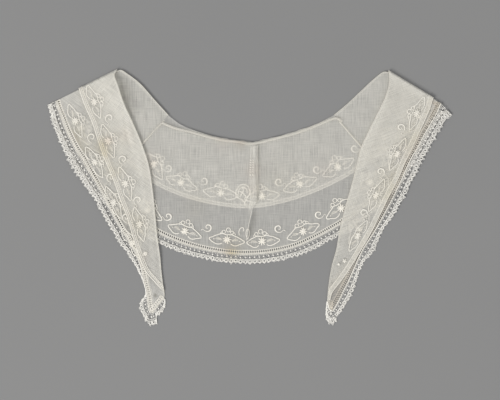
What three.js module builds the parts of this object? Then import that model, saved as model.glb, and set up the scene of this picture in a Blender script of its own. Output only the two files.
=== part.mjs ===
// A sheer cotton shawl collar in two tiers, laid flat on its face: the back lies wrong side up, and
// each front is folded forward over it along a line from the neck to the hem.
// Millimetres, +Z up. The origin is the middle of the collar's outline, on the surface it lies on,
// and +Y runs from the back hem towards the folds by the neck. From the surface up lie the short
// tier, the long tier, and over the folds the long tier and the short tier again.
import * as THREE from "three";

// ---- driving dimensions ----
const CLOTH = 1.0; // thickness of each wall of cloth or lace
const AIR = 0.3; // clear gap between walls, at seams and where they lie on each other
const LAYER = CLOTH + AIR; // how much one layer raises the next
const ORIGIN = [0, 1]; // middle of the outline, in the tables' own plan coordinates
const HEM_CENTRE = [0.5, 155.5]; // middle of the arc that the back hem follows
const LONG_RADIUS = 219.5; // arc of the long tier's hem across the back
const LACE_RADIUS = 229.5; // arc of the lace's outer edge
const LONG_FOLD_RADIUS = LAYER / 2; // mid-wall radius where the long tier turns over
const SHORT_FOLD_RADIUS = LONG_FOLD_RADIUS + LAYER; // the short tier turns over outside it
const FOLD_INSET = SHORT_FOLD_RADIUS + CLOTH / 2; // from the outline in to the axis of the fold
const FOLD_STEPS = 5; // facets round a fold
const COVER_MARGIN = 4; // a layer stays level this far past the edge of what it lies on
const COVER_FALL = 26; // and then sinks to the next layer down over this width
const PICOT = 0.9; // how far each picot of the lace stands out of its mean edge, and falls in
const BINDING_WIDTH = 2.6; // rolled binding along the back neck
const ROWS_EACH = 2; // rows of facets for each row of a front's table
const BACK_ROWS_EACH = 3; // and of the back's table
const FRONT_COLUMNS = [6, 3]; // facets across a front: to the short hem, and on to the long one
const BACK_COLUMNS = [6, 6]; // and across the back
const TIP_SHARE = 0.15; // past the end of the short tier its hem line goes on at this share across
const LACE_STEPS = { back: 6, under: 5, over: 4 }; // lace columns for each row of cloth

// Along the back, from the left shoulder seam to the right one. The angle places the hem on its
// arc, and the inset draws it in from there.
const BACK = [
  { angle: -48.2, inset: 1.0, neck: [-89.0, 90.0], short: [-136.0, 39.5] },
  { angle: -36.0, inset: 0.5, neck: [-75.5, 80.0], short: [-108.5, 17.5] },
  { angle: -24.0, inset: 0.5, neck: [-51.0, 70.5], short: [-76.0, 2.0] },
  { angle: -12.0, inset: 1.0, neck: [-26.0, 64.0], short: [-37.5, -8.0] },
  { angle: 0.0, inset: 1.5, neck: [-0.5, 59.5], short: [0.5, -11.5] },
  { angle: 12.0, inset: 3.5, neck: [25.0, 65.5], short: [38.0, -5.5] },
  { angle: 24.0, inset: 8.5, neck: [51.0, 72.5], short: [73.5, 6.5] },
  { angle: 36.0, inset: 11.0, neck: [74.0, 81.0], short: [104.5, 21.5] },
  { angle: 48.2, inset: 11.0, neck: [93.0, 90.5], short: [136.0, 41.5] },
];

// The part of each front that lies under, from the shoulder seam to the fold, in the same terms.
const LEFT_UNDER = [
  { angle: -57.5, inset: 2, neck: [-104.0, 106.5], short: [-157.5, 64.5] },
  { angle: -67.0, inset: 2, neck: [-120.5, 125.0], short: [-174.5, 89.5] },
  { angle: -72.5, inset: 1, neck: [-134.0, 137.5], short: [-181.5, 105.0] },
];
const RIGHT_UNDER = [
  { angle: 57.5, inset: 11, neck: [108.0, 103.0], short: [165.5, 63.5] },
  { angle: 67.0, inset: 11, neck: [125.5, 119.5], short: [185.5, 87.5] },
  { angle: 71.5, inset: 8, neck: [141.0, 133.5], short: [195.0, 99.5] },
];

// The part of each front that lies over the back, from the fold to the tip: its front edge, the
// short tier's hem, the long tier's hem and the outer edge of the lace. The short tier ends first.
const LEFT_OVER = [
  { front: [-145.3, 141.6], short: [-187.6, 120.5], long: [-213.5, 107.7], lace: [-223.3, 102.9] },
  { front: [-144.0, 122.5], short: [-180.0, 99.5], long: [-206.5, 89.5], lace: [-217.8, 88.0] },
  { front: [-138.0, 104.0], short: [-172.0, 81.0], long: [-199.5, 72.0], lace: [-211.8, 71.0] },
  { front: [-128.5, 82.5], short: [-165.5, 60.5], long: [-191.5, 55.5], lace: [-205.0, 53.0] },
  { front: [-118.5, 59.0], short: [-158.0, 40.0], long: [-181.5, 40.0], lace: [-193.0, 31.0] },
  { front: [-111.0, 36.0], short: [-150.0, 21.5], long: [-171.0, 20.5], lace: [-181.5, 14.5] },
  { front: [-106.5, 8.0], short: [-142.0, -1.5], long: [-159.5, 0.0], lace: [-170.0, -3.0] },
  { front: [-103.5, -22.5], short: [-134.0, -22.5], long: [-148.5, -22.0], lace: [-158.0, -24.0] },
  { front: [-101.0, -47.0], short: [-127.0, -47.0], long: [-137.0, -41.0], lace: [-147.0, -44.0] },
  { front: [-98.5, -64.5], short: [-121.0, -65.0], long: [-126.5, -58.5], lace: [-135.0, -61.0] },
  { front: [-97.0, -82.0], short: [-114.5, -80.5], long: [-119.5, -75.5], lace: [-125.0, -76.0] },
  { front: [-95.0, -97.5], short: [-103.5, -93.5], long: [-115.5, -95.0], lace: [-116.5, -94.0] },
  { front: [-94.0, -103.0], short: [-96.5, -101.0], long: [-112.5, -108.0], lace: [-114.5, -106.0] },
  { front: [-94.0, -109.5], long: [-112.0, -113.0], lace: [-121.0, -117.5] },
  { front: [-101.5, -119.5], long: [-111.0, -119.5], lace: [-119.0, -127.0] },
  { front: [-106.5, -126.5], long: [-109.5, -126.0], lace: [-113.5, -136.5] },
];
const RIGHT_OVER = [
  { front: [152.9, 140.2], short: [202.5, 110.2], long: [211.3, 104.6], lace: [223.3, 92.2] },
  { front: [153.5, 126.0], short: [198.0, 97.5], long: [206.0, 93.5], lace: [216.5, 86.0] },
  { front: [149.0, 110.0], short: [192.0, 83.5], long: [200.0, 82.5], lace: [211.5, 77.5] },
  { front: [142.0, 95.0], short: [185.5, 69.5], long: [193.0, 71.0], lace: [204.5, 66.0] },
  { front: [131.0, 73.0], short: [178.0, 53.0], long: [185.0, 55.5], lace: [195.5, 51.5] },
  { front: [122.5, 54.0], short: [171.0, 38.5], long: [176.5, 40.5], lace: [188.0, 37.5] },
  { front: [117.5, 33.5], short: [164.0, 21.5], long: [168.0, 21.5], lace: [178.5, 19.5] },
  { front: [111.5, 10.5], short: [155.0, 4.5], long: [159.5, 3.5], lace: [170.5, 1.0] },
  { front: [105.5, -11.0], short: [145.0, -16.0], long: [148.5, -17.5], lace: [159.5, -17.0] },
  { front: [99.5, -35.0], short: [133.5, -39.0], long: [136.5, -38.5], lace: [146.5, -38.0] },
  { front: [95.5, -58.0], short: [122.0, -59.0], long: [126.0, -55.0], lace: [137.0, -58.5] },
  { front: [91.0, -74.5], short: [112.0, -75.5], long: [117.0, -73.5], lace: [124.0, -74.0] },
  { front: [88.0, -91.5], short: [100.5, -92.0], long: [110.0, -89.5], lace: [118.5, -89.0] },
  { front: [86.5, -104.5], short: [91.0, -104.5], long: [102.5, -104.5], lace: [114.0, -105.0] },
  { front: [86.0, -114.0], short: [88.5, -113.0], long: [97.0, -115.5], lace: [107.0, -116.5] },
  { front: [88.0, -123.0], long: [91.5, -125.0], lace: [98.5, -127.5] },
];

// Round each tip the lace comes back up the front edge for the last rows: its outer edge there.
const LEFT_TIP = { rows: 2, lace: [[-107.0, -139.5], [-101.0, -131.5], [-93.0, -121.0], [-92.8, -112.5]] };
const RIGHT_TIP = { rows: 1, lace: [[90.5, -139.5], [83.8, -131.5], [83.8, -121.5], [84.6, -114.5]] };

// The short tier stops before the last rows of a front.
const SHORT_ROWS = { left: 13, right: 15 };

// A front edge stands a little off the layers below it, between two rows of its table.
const LIFT = {
  left: { height: 3.5, reach: 30, from: 0.3, to: 6 },
  right: { height: 2.5, reach: 26, from: 0.3, to: 6 },
};

// Middle of the rolled binding, from the left shoulder seam to the right one.
const BINDING = [
  [-96.0, 82.0], [-82.5, 76.5], [-63.5, 71.5], [-45.5, 66.5], [-27.0, 62.0], [-0.5, 57.8],
  [25.0, 63.5], [51.0, 70.5], [74.0, 79.0], [95.5, 87.0], [102.0, 83.5],
];

// The tuck at the centre back, pressed to the left: its stitched side and its folded edge.
const TUCK = [
  { left: [1.0, 55.5], right: [9.5, 57.0] },
  { left: [0.0, 25.0], right: [10.0, 25.0] },
  { left: [0.5, -3.0], right: [8.5, -3.0] },
  { left: [-1.0, -13.0], right: [3.5, -13.0] },
  { left: [-4.5, -33.5], right: [-1.5, -33.5] },
  { left: [-5.0, -46.5], right: [-3.0, -46.5] },
];

// ---- plan geometry ----
const plan = ([x, y]) => new THREE.Vector3(x - ORIGIN[0], y - ORIGIN[1], 0);
const mix = (a, b, share) => a.clone().lerp(b, share);
const alongHem = (angle, radius) => [
  HEM_CENTRE[0] + radius * Math.sin(THREE.MathUtils.degToRad(angle)),
  HEM_CENTRE[1] - radius * Math.cos(THREE.MathUtils.degToRad(angle)),
];

// A smooth line through one column of a table, as a function from 0 to 1 along its rows.
function line(points) {
  const curve = new THREE.CatmullRomCurve3(points.map(plan), false, "centripetal");
  return (share) => curve.getPoint(THREE.MathUtils.clamp(share, 0, 1));
}
const column = (rows, name) => line(rows.map((row) => row[name]));
const sampled = (curve, steps) =>
  Array.from({ length: steps + 1 }, (_, i) => curve(i / steps));

// A row on the back or under a fold, with its long hem and lace worked out from its angle.
const onArc = ({ angle, inset, neck, short }) => ({
  front: neck,
  short,
  long: alongHem(angle, LONG_RADIUS - inset),
  lace: alongHem(angle, LACE_RADIUS - inset),
});

// A row past the end of the short tier, with the line of that tier's hem drawn on across it.
function withShort(row) {
  const { front, long } = row;
  const short = front.map((value, axis) => value + TIP_SHARE * (long[axis] - value));
  return { short, ...row };
}

// A whole row moved sideways in plan.
function moved(row, shift) {
  const entries = Object.entries(row).map(([name, [x, y]]) => [name, [x + shift.x, y + shift.y]]);
  return Object.fromEntries(entries);
}

// The unit direction across a row, to its left as one looks from its front edge to its lace.
function sideways(row) {
  const [a, b] = [plan(row.front), plan(row.lace)];
  return new THREE.Vector3(a.y - b.y, b.x - a.x, 0).normalize();
}

// The unit direction out of a fold, between two points of its outline.
function outOfFold(from, to) {
  const out = new THREE.Vector3(from[1] - to[1], to[0] - from[0], 0).normalize();
  return out.y < 0 ? out.negate() : out;
}

// A front: its rows under the fold and over it, with the fold's axis set in from the outline. The
// fold bends where the short tier ends, so it has one way out beside that tier and one past it.
function frontOf(shoulder, under, over, tip, shortRows, lift) {
  const { front, short, lace } = over[0];
  const outward = outOfFold(front, lace);
  const fold = moved(over[0], outward.clone().multiplyScalar(-FOLD_INSET));
  const seamSide = sideways(shoulder);
  if (seamSide.dot(outward) < 0) seamSide.negate();
  const seam = moved(shoulder, seamSide.multiplyScalar(AIR));
  return {
    outward: { short: outOfFold(front, short), lace: outOfFold(short, lace) },
    under: [seam, ...under.map(onArc), fold],
    over: [fold, ...over.slice(1).map(withShort)],
    tip,
    shortRows,
    lift,
  };
}

const back = BACK.map(onArc);
const left = frontOf(back[0], LEFT_UNDER, LEFT_OVER, LEFT_TIP, SHORT_ROWS.left, LIFT.left);
const right = frontOf(
  back[back.length - 1], RIGHT_UNDER, RIGHT_OVER, RIGHT_TIP, SHORT_ROWS.right, LIFT.right,
);

// ---- what each layer lies on ----
// The closed outline between two columns of a run of rows.
function outline(rows, outerColumn) {
  const steps = rows.length * 4;
  return [
    ...sampled(column(rows, "front"), steps),
    ...sampled(column(rows, outerColumn), steps).reverse(),
  ];
}

// Distance from a point to an outline, 0 inside it.
function distanceOutside(shape, x, y) {
  let inside = false;
  let nearest = Infinity;
  shape.forEach((b, i) => {
    const a = shape[(i + shape.length - 1) % shape.length];
    if (a.y > y !== b.y > y && x < ((b.x - a.x) * (y - a.y)) / (b.y - a.y) + a.x) inside = !inside;
    nearest = Math.min(nearest, distanceToSegment(a, b, x, y).distance);
  });
  return inside ? 0 : nearest;
}

function distanceToSegment(a, b, x, y) {
  const [dx, dy] = [b.x - a.x, b.y - a.y];
  const share = THREE.MathUtils.clamp(
    ((x - a.x) * dx + (y - a.y) * dy) / (dx * dx + dy * dy || 1), 0, 1,
  );
  return { share, distance: Math.hypot(x - a.x - share * dx, y - a.y - share * dy) };
}

const lowerRows = [...[...left.under].reverse(), ...back, ...right.under];
const BELOW = [
  [outline(lowerRows, "short")],
  [outline(lowerRows, "lace")],
  [outline(left.over, "lace"), outline(right.over, "lace")],
];

// 1 over a layer, falling to 0 away from it.
function cover(shapes, x, y) {
  const gap = Math.min(...shapes.map((shape) => distanceOutside(shape, x, y)));
  return 1 - THREE.MathUtils.smoothstep(gap, COVER_MARGIN, COVER_MARGIN + COVER_FALL);
}

// How far the front edge of a front stands off, at a point in plan.
const frontEdges = new Map(
  [left, right].map((front) => [front, sampled(column(front.over, "front"), 60)]),
);
function liftAt(front, x, y) {
  const edge = frontEdges.get(front);
  let best = { distance: Infinity, row: 0 };
  for (let i = 1; i < edge.length; i++) {
    const { share, distance } = distanceToSegment(edge[i - 1], edge[i], x, y);
    const row = ((i - 1 + share) / (edge.length - 1)) * (front.over.length - 1);
    if (distance < best.distance) best = { distance, row };
  }
  const { height, reach, from, to } = front.lift;
  const along = THREE.MathUtils.clamp((best.row - from) / (to - from), 0, 1);
  const across = 1 - THREE.MathUtils.smoothstep(best.distance, 0, reach);
  return height * across * Math.sin(Math.PI * along) ** 2;
}

// Height of the middle of the wall of a layer, counted from 0 on the surface.
function heightOf(layer, x, y, front) {
  const raised = BELOW.slice(0, layer).reduce((sum, shapes) => sum + cover(shapes, x, y), 0);
  const lift = front && layer > 1 ? liftAt(front, x, y) : 0;
  return CLOTH / 2 + LAYER * raised + lift;
}

// ---- walls ----
const UP = new THREE.Vector3(0, 0, 1);

// A closed wall over a grid of stations, each the middle of the wall and the way out of it.
function wall(stations, thickness = CLOTH) {
  const across = stations[0].length;
  const at = (i, j) => stations[i][j].middle;
  const span = (p, q) => q.clone().sub(p);
  const turn = span(at(0, 0), at(1, 0)).cross(span(at(0, 0), at(0, 1)));
  const flipped = turn.dot(stations[0][0].out) < 0;
  const positions = [];
  for (const { middle, out } of stations.flat()) {
    for (const side of [0.5, -0.5]) {
      positions.push(...middle.clone().addScaledVector(out, side * thickness).toArray());
    }
  }
  const faces = [];
  const quad = (a, b, c, d) => {
    if (flipped) faces.push(a, c, b, a, d, c);
    else faces.push(a, b, c, a, c, d);
  };
  const top = (i, j) => 2 * (i * across + j);
  const low = (i, j) => top(i, j) + 1;
  const side = (i, j, k, l) => quad(top(k, l), top(i, j), low(i, j), low(k, l));
  const [lastRow, lastColumn] = [stations.length - 1, across - 1];
  for (let i = 0; i < lastRow; i++) {
    for (let j = 0; j < lastColumn; j++) {
      quad(top(i, j), top(i + 1, j), top(i + 1, j + 1), top(i, j + 1));
      quad(low(i, j), low(i, j + 1), low(i + 1, j + 1), low(i + 1, j));
    }
    side(i, 0, i + 1, 0);
    side(i + 1, lastColumn, i, lastColumn);
  }
  for (let j = 0; j < lastColumn; j++) {
    side(lastRow, j, lastRow, j + 1);
    side(0, j + 1, 0, j);
  }
  const geometry = new THREE.BufferGeometry();
  geometry.setAttribute("position", new THREE.Float32BufferAttribute(positions, 3));
  geometry.setIndex(faces);
  geometry.computeVertexNormals();
  return geometry;
}

// A row of stations in a layer, along a line through two or more points in plan. Each span of the
// line has its own number of columns.
function flatRow(points, columns, layer, front) {
  const middles = points.slice(1).flatMap((point, k) =>
    Array.from({ length: columns[k] }, (_, j) => mix(points[k], point, j / columns[k])),
  );
  middles.push(points[points.length - 1].clone());
  for (const middle of middles) middle.z = heightOf(layer, middle.x, middle.y, front);
  return middles.map((middle) => ({ middle, out: layer > 1 ? UP.clone().negate() : UP.clone() }));
}

// The rows that turn a front over, from the last row under the fold to the first row over it. The
// first columns turn beside the short tier, and the others past it.
function foldRows(front, under, over, radius, shortColumns) {
  return Array.from({ length: FOLD_STEPS - 1 }, (_, i) => {
    const turn = (Math.PI * (i + 1)) / FOLD_STEPS;
    return under.map((station, j) => {
      const outward = j <= shortColumns ? front.outward.short : front.outward.lace;
      const out = outward.clone().multiplyScalar(-Math.sin(turn)).addScaledVector(UP, Math.cos(turn));
      const centre = mix(station.middle, over[j].middle, 0.5);
      return { middle: centre.addScaledVector(out, -radius), out };
    });
  });
}

// The rows of one tier, on lines from the front edge or neck through the short tier's hem.
function tierRows(rows, isLong, rowsEach, columns, layer, front) {
  const names = isLong ? ["front", "short", "long"] : ["front", "short"];
  const steps = (rows.length - 1) * rowsEach;
  const lines = names.map((name) => sampled(column(rows, name), steps));
  return lines[0].map((_, i) => flatRow(lines.map((points) => points[i]), columns, layer, front));
}

// One tier of a front: under the back from the shoulder seam, round the fold and down to its end.
function frontTier(front, isLong) {
  const radius = isLong ? LONG_FOLD_RADIUS : SHORT_FOLD_RADIUS;
  const overRows = isLong ? front.over : front.over.slice(0, front.shortRows);
  const [underLayer, overLayer] = isLong ? [1, 2] : [0, 3];
  const under = tierRows(front.under, isLong, ROWS_EACH, FRONT_COLUMNS, underLayer, front);
  const over = tierRows(overRows, isLong, ROWS_EACH, FRONT_COLUMNS, overLayer, front);
  const turn = foldRows(front, under[under.length - 1], over[0], radius, FRONT_COLUMNS[0]);
  return wall([...under, ...turn, ...over]);
}

function backTier(isLong) {
  return wall(tierRows(back, isLong, BACK_ROWS_EACH, BACK_COLUMNS, isLong ? 1 : 0));
}

// ---- lace ----
// The cloth's own edge points moved out by the gap at a seam, towards the lace's rim.
function pastEdge(edge, rim) {
  const normals = edge.slice(1).map((point, k) => {
    const normal = new THREE.Vector3(point.y - edge[k].y, edge[k].x - point.x, 0).normalize();
    const way = mix(rim[k], rim[k + 1], 0.5).sub(mix(edge[k], point, 0.5));
    return normal.dot(way) < 0 ? normal.negate() : normal;
  });
  return edge.map((point, k) => {
    const before = normals[Math.max(k - 1, 0)];
    const after = normals[Math.min(k, normals.length - 1)];
    const corner = before.clone().add(after).multiplyScalar(AIR / (1 + before.dot(after)));
    return corner.add(point);
  });
}

// Rows of lace between the edge of the cloth and the rim, both given row by row. Every second
// column between them stands out as a picot.
function laceRows(edge, rim, steps, layer, front) {
  const inner = pastEdge(edge, rim);
  const count = (edge.length - 1) * steps;
  return Array.from({ length: count + 1 }, (_, i) => {
    const k = Math.min(Math.floor(i / steps), edge.length - 2);
    const from = mix(inner[k], inner[k + 1], i / steps - k);
    const to = mix(rim[k], rim[k + 1], i / steps - k);
    const picot = i === 0 || i === count ? 0 : PICOT * (i % 2 ? 1 : -1);
    to.addScaledVector(to.clone().sub(from).normalize(), picot);
    return flatRow([from, to], [1], layer, front);
  });
}

function backLace() {
  const steps = (back.length - 1) * BACK_ROWS_EACH;
  const [edge, rim] = ["long", "lace"].map((name) => sampled(column(back, name), steps));
  return wall(laceRows(edge, rim, LACE_STEPS.back, 1));
}

// The lace of a front goes on round the tip and some rows back up the front edge.
function frontLace(front) {
  const sides = (rows) =>
    ["long", "lace"].map((name) => sampled(column(rows, name), (rows.length - 1) * ROWS_EACH));
  const [underEdge, underRim] = sides(front.under);
  const [overEdge, overRim] = sides(front.over);
  const returning = front.tip.rows * ROWS_EACH;
  const frontEdge = sampled(column(front.over, "front"), (front.over.length - 1) * ROWS_EACH);
  overEdge.push(...frontEdge.reverse().slice(0, returning + 1));
  overRim.push(...sampled(line(front.tip.lace), returning));
  const under = laceRows(underEdge, underRim, LACE_STEPS.under, 1);
  const over = laceRows(overEdge, overRim, LACE_STEPS.over, 2, front);
  const turn = foldRows(front, under[under.length - 1], over[0], LONG_FOLD_RADIUS, -1);
  return wall([...under, ...turn, ...over]);
}

// ---- what lies on the back ----
function binding() {
  const steps = (BINDING.length - 1) * ROWS_EACH;
  const path = sampled(line(BINDING), steps);
  return wall(
    path.map((point, i) => {
      const along = path[Math.min(i + 1, steps)].clone().sub(path[Math.max(i - 1, 0)]).normalize();
      const half = new THREE.Vector3(-along.y, along.x, 0).multiplyScalar(BINDING_WIDTH / 2);
      return flatRow([point.clone().add(half), point.clone().sub(half)], [1], 2);
    }),
  );
}

function tuck() {
  const steps = (TUCK.length - 1) * ROWS_EACH * 2;
  const leftSide = sampled(column(TUCK, "left"), steps);
  const rightSide = sampled(column(TUCK, "right"), steps);
  return wall(leftSide.map((point, i) => flatRow([point, rightSide[i]], [1], 2)));
}

// ---- the collar ----
const finish = (color) => new THREE.MeshStandardMaterial({ color, roughness: 0.9, metalness: 0 });
const BATISTE = finish(0xd6d2c6);
const LACE = finish(0xe8e5da);
const TAPE = finish(0xe0dccf);

const collar = new THREE.Group();
function add(name, geometry, material) {
  const mesh = new THREE.Mesh(geometry, material);
  mesh.name = name;
  collar.add(mesh);
}

add("back_short_tier", backTier(false), BATISTE);
add("back_long_tier", backTier(true), BATISTE);
add("back_lace", backLace(), LACE);
for (const [side, front] of [["left", left], ["right", right]]) {
  add(`${side}_front_long_tier`, frontTier(front, true), BATISTE);
  add(`${side}_front_short_tier`, frontTier(front, false), BATISTE);
  add(`${side}_front_lace`, frontLace(front), LACE);
}
add("neck_binding", binding(), TAPE);
add("centre_back_tuck", tuck(), BATISTE);

export default collar;
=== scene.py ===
"""A sheer two-tier shawl collar in cotton batiste, with whitework, hemstitching and lace. It lies on
its face, and both fronts are folded over the back. The frame is in metres, the tables in millimetres."""
import math

import bpy
import numpy as np
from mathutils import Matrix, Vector


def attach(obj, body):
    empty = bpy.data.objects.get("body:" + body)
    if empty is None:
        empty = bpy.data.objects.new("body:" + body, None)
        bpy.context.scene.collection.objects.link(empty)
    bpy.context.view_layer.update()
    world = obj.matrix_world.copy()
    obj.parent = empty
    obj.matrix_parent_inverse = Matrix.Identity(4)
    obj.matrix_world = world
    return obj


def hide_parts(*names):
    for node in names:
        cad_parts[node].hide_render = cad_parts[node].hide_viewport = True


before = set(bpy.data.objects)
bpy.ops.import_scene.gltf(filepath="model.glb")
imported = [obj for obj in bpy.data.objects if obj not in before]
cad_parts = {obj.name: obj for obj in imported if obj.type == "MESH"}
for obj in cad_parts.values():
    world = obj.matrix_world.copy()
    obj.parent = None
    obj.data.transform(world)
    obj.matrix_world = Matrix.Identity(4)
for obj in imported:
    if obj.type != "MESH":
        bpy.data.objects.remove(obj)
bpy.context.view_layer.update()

MM = 0.001
UP = np.array([0.0, 0.0, 1.0])
rng = np.random.default_rng(7)

# ---- sizes of the collar, as in the part ----
WALL = 1.0  # a layer of the solid part
LAYER = 1.3  # from the middle of one layer to the middle of the next
ORIGIN = (0, 1)
HEM_CENTRE = (0.5, 155.5)
LONG_RADIUS = 219.5
LACE_RADIUS = 229.5
LONG_FOLD_RADIUS = LAYER / 2
SHORT_FOLD_RADIUS = LONG_FOLD_RADIUS + LAYER
FOLD_INSET = SHORT_FOLD_RADIUS + WALL / 2
SEAM_GAP = 0.3
COVER_MARGIN = 4
COVER_FALL = 26
TIP_SHARE = 0.15
SHORT_ROWS = {"left": 14, "right": 15}

# Along the back from the left shoulder seam: place of the hem on its arc, how far it is drawn in,
# neck edge, hem of the short tier, and how far below the neck edge the short tier is joined on.
BACK = [
    {"angle": -48.2, "inset": 1.0, "neck": (-89.0, 90.0), "short": (-136.0, 39.5), "join": 9.0},
    {"angle": -36.0, "inset": 0.5, "neck": (-75.5, 80.0), "short": (-108.5, 17.5), "join": 6.5},
    {"angle": -24.0, "inset": 0.5, "neck": (-51.0, 70.5), "short": (-76.0, 2.0), "join": 4.0},
    {"angle": -12.0, "inset": 1.0, "neck": (-26.0, 64.0), "short": (-37.5, -8.0), "join": 2.0},
    {"angle": 0.0, "inset": 1.5, "neck": (-0.5, 59.5), "short": (0.5, -11.5), "join": 1.5},
    {"angle": 12.0, "inset": 3.5, "neck": (25.0, 65.5), "short": (38.0, -5.5), "join": 1.5},
    {"angle": 24.0, "inset": 8.5, "neck": (51.0, 72.5), "short": (73.5, 6.5), "join": 1.5},
    {"angle": 36.0, "inset": 11.0, "neck": (74.0, 81.0), "short": (104.5, 21.5), "join": 2.0},
    {"angle": 48.2, "inset": 11.0, "neck": (93.0, 90.5), "short": (136.0, 41.5), "join": 3.0},
]
UNDER = {
    "left": [
        {"angle": -57.5, "inset": 2, "neck": (-104.0, 106.5), "short": (-157.5, 64.5)},
        {"angle": -67.0, "inset": 2, "neck": (-120.5, 125.0), "short": (-174.5, 89.5)},
        {"angle": -72.5, "inset": 1, "neck": (-134.0, 135.4), "short": (-181.5, 105.0)},
        {"angle": -75.0, "inset": 0.5, "neck": (-141.3, 139.8), "short": (-184.6, 112.8)},
    ],
    "right": [
        {"angle": 57.5, "inset": 13.5, "neck": (108.0, 103.0), "short": (165.5, 63.5)},
        {"angle": 67.0, "inset": 13.5, "neck": (125.5, 119.5), "short": (185.5, 87.5)},
        {"angle": 71.5, "inset": 9.5, "neck": (141.0, 133.5), "short": (195.0, 99.5)},
        {"angle": 73.2, "inset": 7.5, "neck": (148.0, 137.9), "short": (199.0, 104.6)},
    ],
}
# From the fold to the tip: front edge, short hem, long hem and rim of the lace.
OVER = {
    "left": [
        ((-147.3, 140.6), (-187.6, 120.5), (-213.5, 107.7), (-223.3, 102.9)),
        ((-148.2, 134.8), (-185.0, 113.2), (-211.2, 101.6), (-221.4, 97.9)),
        ((-144.0, 122.5), (-180.0, 99.5), (-206.5, 89.5), (-217.8, 88.0)),
        ((-138.0, 104.0), (-172.0, 81.0), (-199.5, 72.0), (-211.8, 71.0)),
        ((-128.5, 82.5), (-165.5, 60.5), (-191.5, 55.5), (-205.0, 53.0)),
        ((-118.5, 59.0), (-158.0, 40.0), (-181.5, 40.0), (-193.0, 31.0)),
        ((-111.0, 36.0), (-150.0, 21.5), (-171.0, 20.5), (-181.5, 14.5)),
        ((-106.5, 8.0), (-142.0, -1.5), (-159.5, 0.0), (-170.0, -3.0)),
        ((-103.5, -22.5), (-134.0, -22.5), (-148.5, -22.0), (-158.0, -24.0)),
        ((-101.0, -47.0), (-127.0, -47.0), (-137.0, -41.0), (-147.0, -44.0)),
        ((-98.5, -64.5), (-121.0, -65.0), (-126.5, -58.5), (-135.0, -61.0)),
        ((-97.0, -82.0), (-114.5, -80.5), (-119.5, -75.5), (-125.0, -76.0)),
        ((-95.0, -97.5), (-103.5, -93.5), (-115.5, -95.0), (-116.5, -94.0)),
        ((-94.0, -103.0), (-96.5, -101.0), (-112.5, -108.0), (-114.5, -106.0)),
        ((-94.0, -109.5), None, (-112.0, -113.0), (-121.0, -117.5)),
        ((-101.5, -119.5), None, (-111.0, -119.5), (-119.0, -127.0)),
        ((-106.5, -126.5), None, (-109.5, -126.0), (-113.5, -136.5)),
    ],
    "right": [
        ((154.8, 139.0), (202.5, 110.2), (211.3, 104.6), (223.3, 92.2)),
        ((153.5, 126.0), (198.0, 97.5), (206.0, 93.5), (216.5, 86.0)),
        ((149.0, 110.0), (192.0, 83.5), (200.0, 82.5), (211.5, 77.5)),
        ((142.0, 95.0), (185.5, 69.5), (193.0, 71.0), (204.5, 66.0)),
        ((131.0, 73.0), (178.0, 53.0), (185.0, 55.5), (195.5, 51.5)),
        ((122.5, 54.0), (171.0, 38.5), (176.5, 40.5), (188.0, 37.5)),
        ((117.5, 33.5), (164.0, 21.5), (168.0, 21.5), (178.5, 19.5)),
        ((111.5, 10.5), (155.0, 4.5), (159.5, 3.5), (170.5, 1.0)),
        ((105.5, -11.0), (145.0, -16.0), (148.5, -17.5), (159.5, -17.0)),
        ((99.5, -35.0), (133.5, -39.0), (136.5, -38.5), (146.5, -38.0)),
        ((95.5, -58.0), (122.0, -59.0), (126.0, -55.0), (137.0, -58.5)),
        ((91.0, -74.5), (112.0, -75.5), (117.0, -73.5), (124.0, -74.0)),
        ((88.0, -91.5), (100.5, -92.0), (110.0, -89.5), (118.5, -89.0)),
        ((86.5, -104.5), (91.0, -104.5), (102.5, -104.5), (114.0, -105.0)),
        ((86.0, -114.0), (88.5, -113.0), (97.0, -115.5), (107.0, -116.5)),
        ((88.0, -123.0), None, (91.5, -125.0), (98.5, -127.5)),
    ],
}
# The lace comes back up the front edge for the last rows: its rim there.
TIP = {
    "left": {
        "rows": 2,
        "lace": [
            (-108.5, -140.5), (-102.2, -139.0), (-102.1, -130.5), (-98.8, -128.6), (-93.2, -121.6),
            (-92.5, -112.5),
        ],
    },
    "right": {
        "rows": 1,
        "lace": [(94.7, -135.0), (89.7, -139.0), (85.0, -134.2), (83.9, -127.4), (84.8, -114.5)],
    },
}
LIFT = {
    "left": {"height": 5.2, "reach": 30, "from": 0.2, "to": 4.6},
    "right": {"height": 2.5, "reach": 26, "from": 0.3, "to": 6},
}
BINDING = [
    (-96.0, 82.0), (-82.5, 76.5), (-63.5, 71.5), (-45.5, 66.5), (-27.0, 62.6), (-13.0, 61.0), (-0.5, 59.0),
    (10.0, 60.0), (25.0, 63.8), (51.0, 70.5), (74.0, 79.0), (95.5, 87.0), (102.0, 83.5),
]
TUCK = [
    {"left": (1.0, 55.5), "right": (9.5, 57.0)},
    {"left": (0.0, 25.0), "right": (10.0, 25.0)},
    {"left": (0.5, -3.0), "right": (8.5, -3.0)},
    {"left": (-1.0, -13.0), "right": (3.5, -13.0)},
    {"left": (-4.5, -33.5), "right": (-1.5, -33.5)},
    {"left": (-5.0, -46.5), "right": (-3.0, -46.5)},
]


# ---- plan geometry ----
def plan(points):
    """Points of a table as metres in the frame."""
    return (np.array(points, float) - ORIGIN) * MM


def unit(vectors):
    return vectors / np.maximum(np.linalg.norm(vectors, axis=-1, keepdims=True), 1e-9)


def mix(first, second, share):
    return first * (1 - share) + second * share


def smoothstep(value, low, high):
    share = np.clip((value - low) / (high - low), 0, 1)
    return share * share * (3 - 2 * share)


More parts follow.
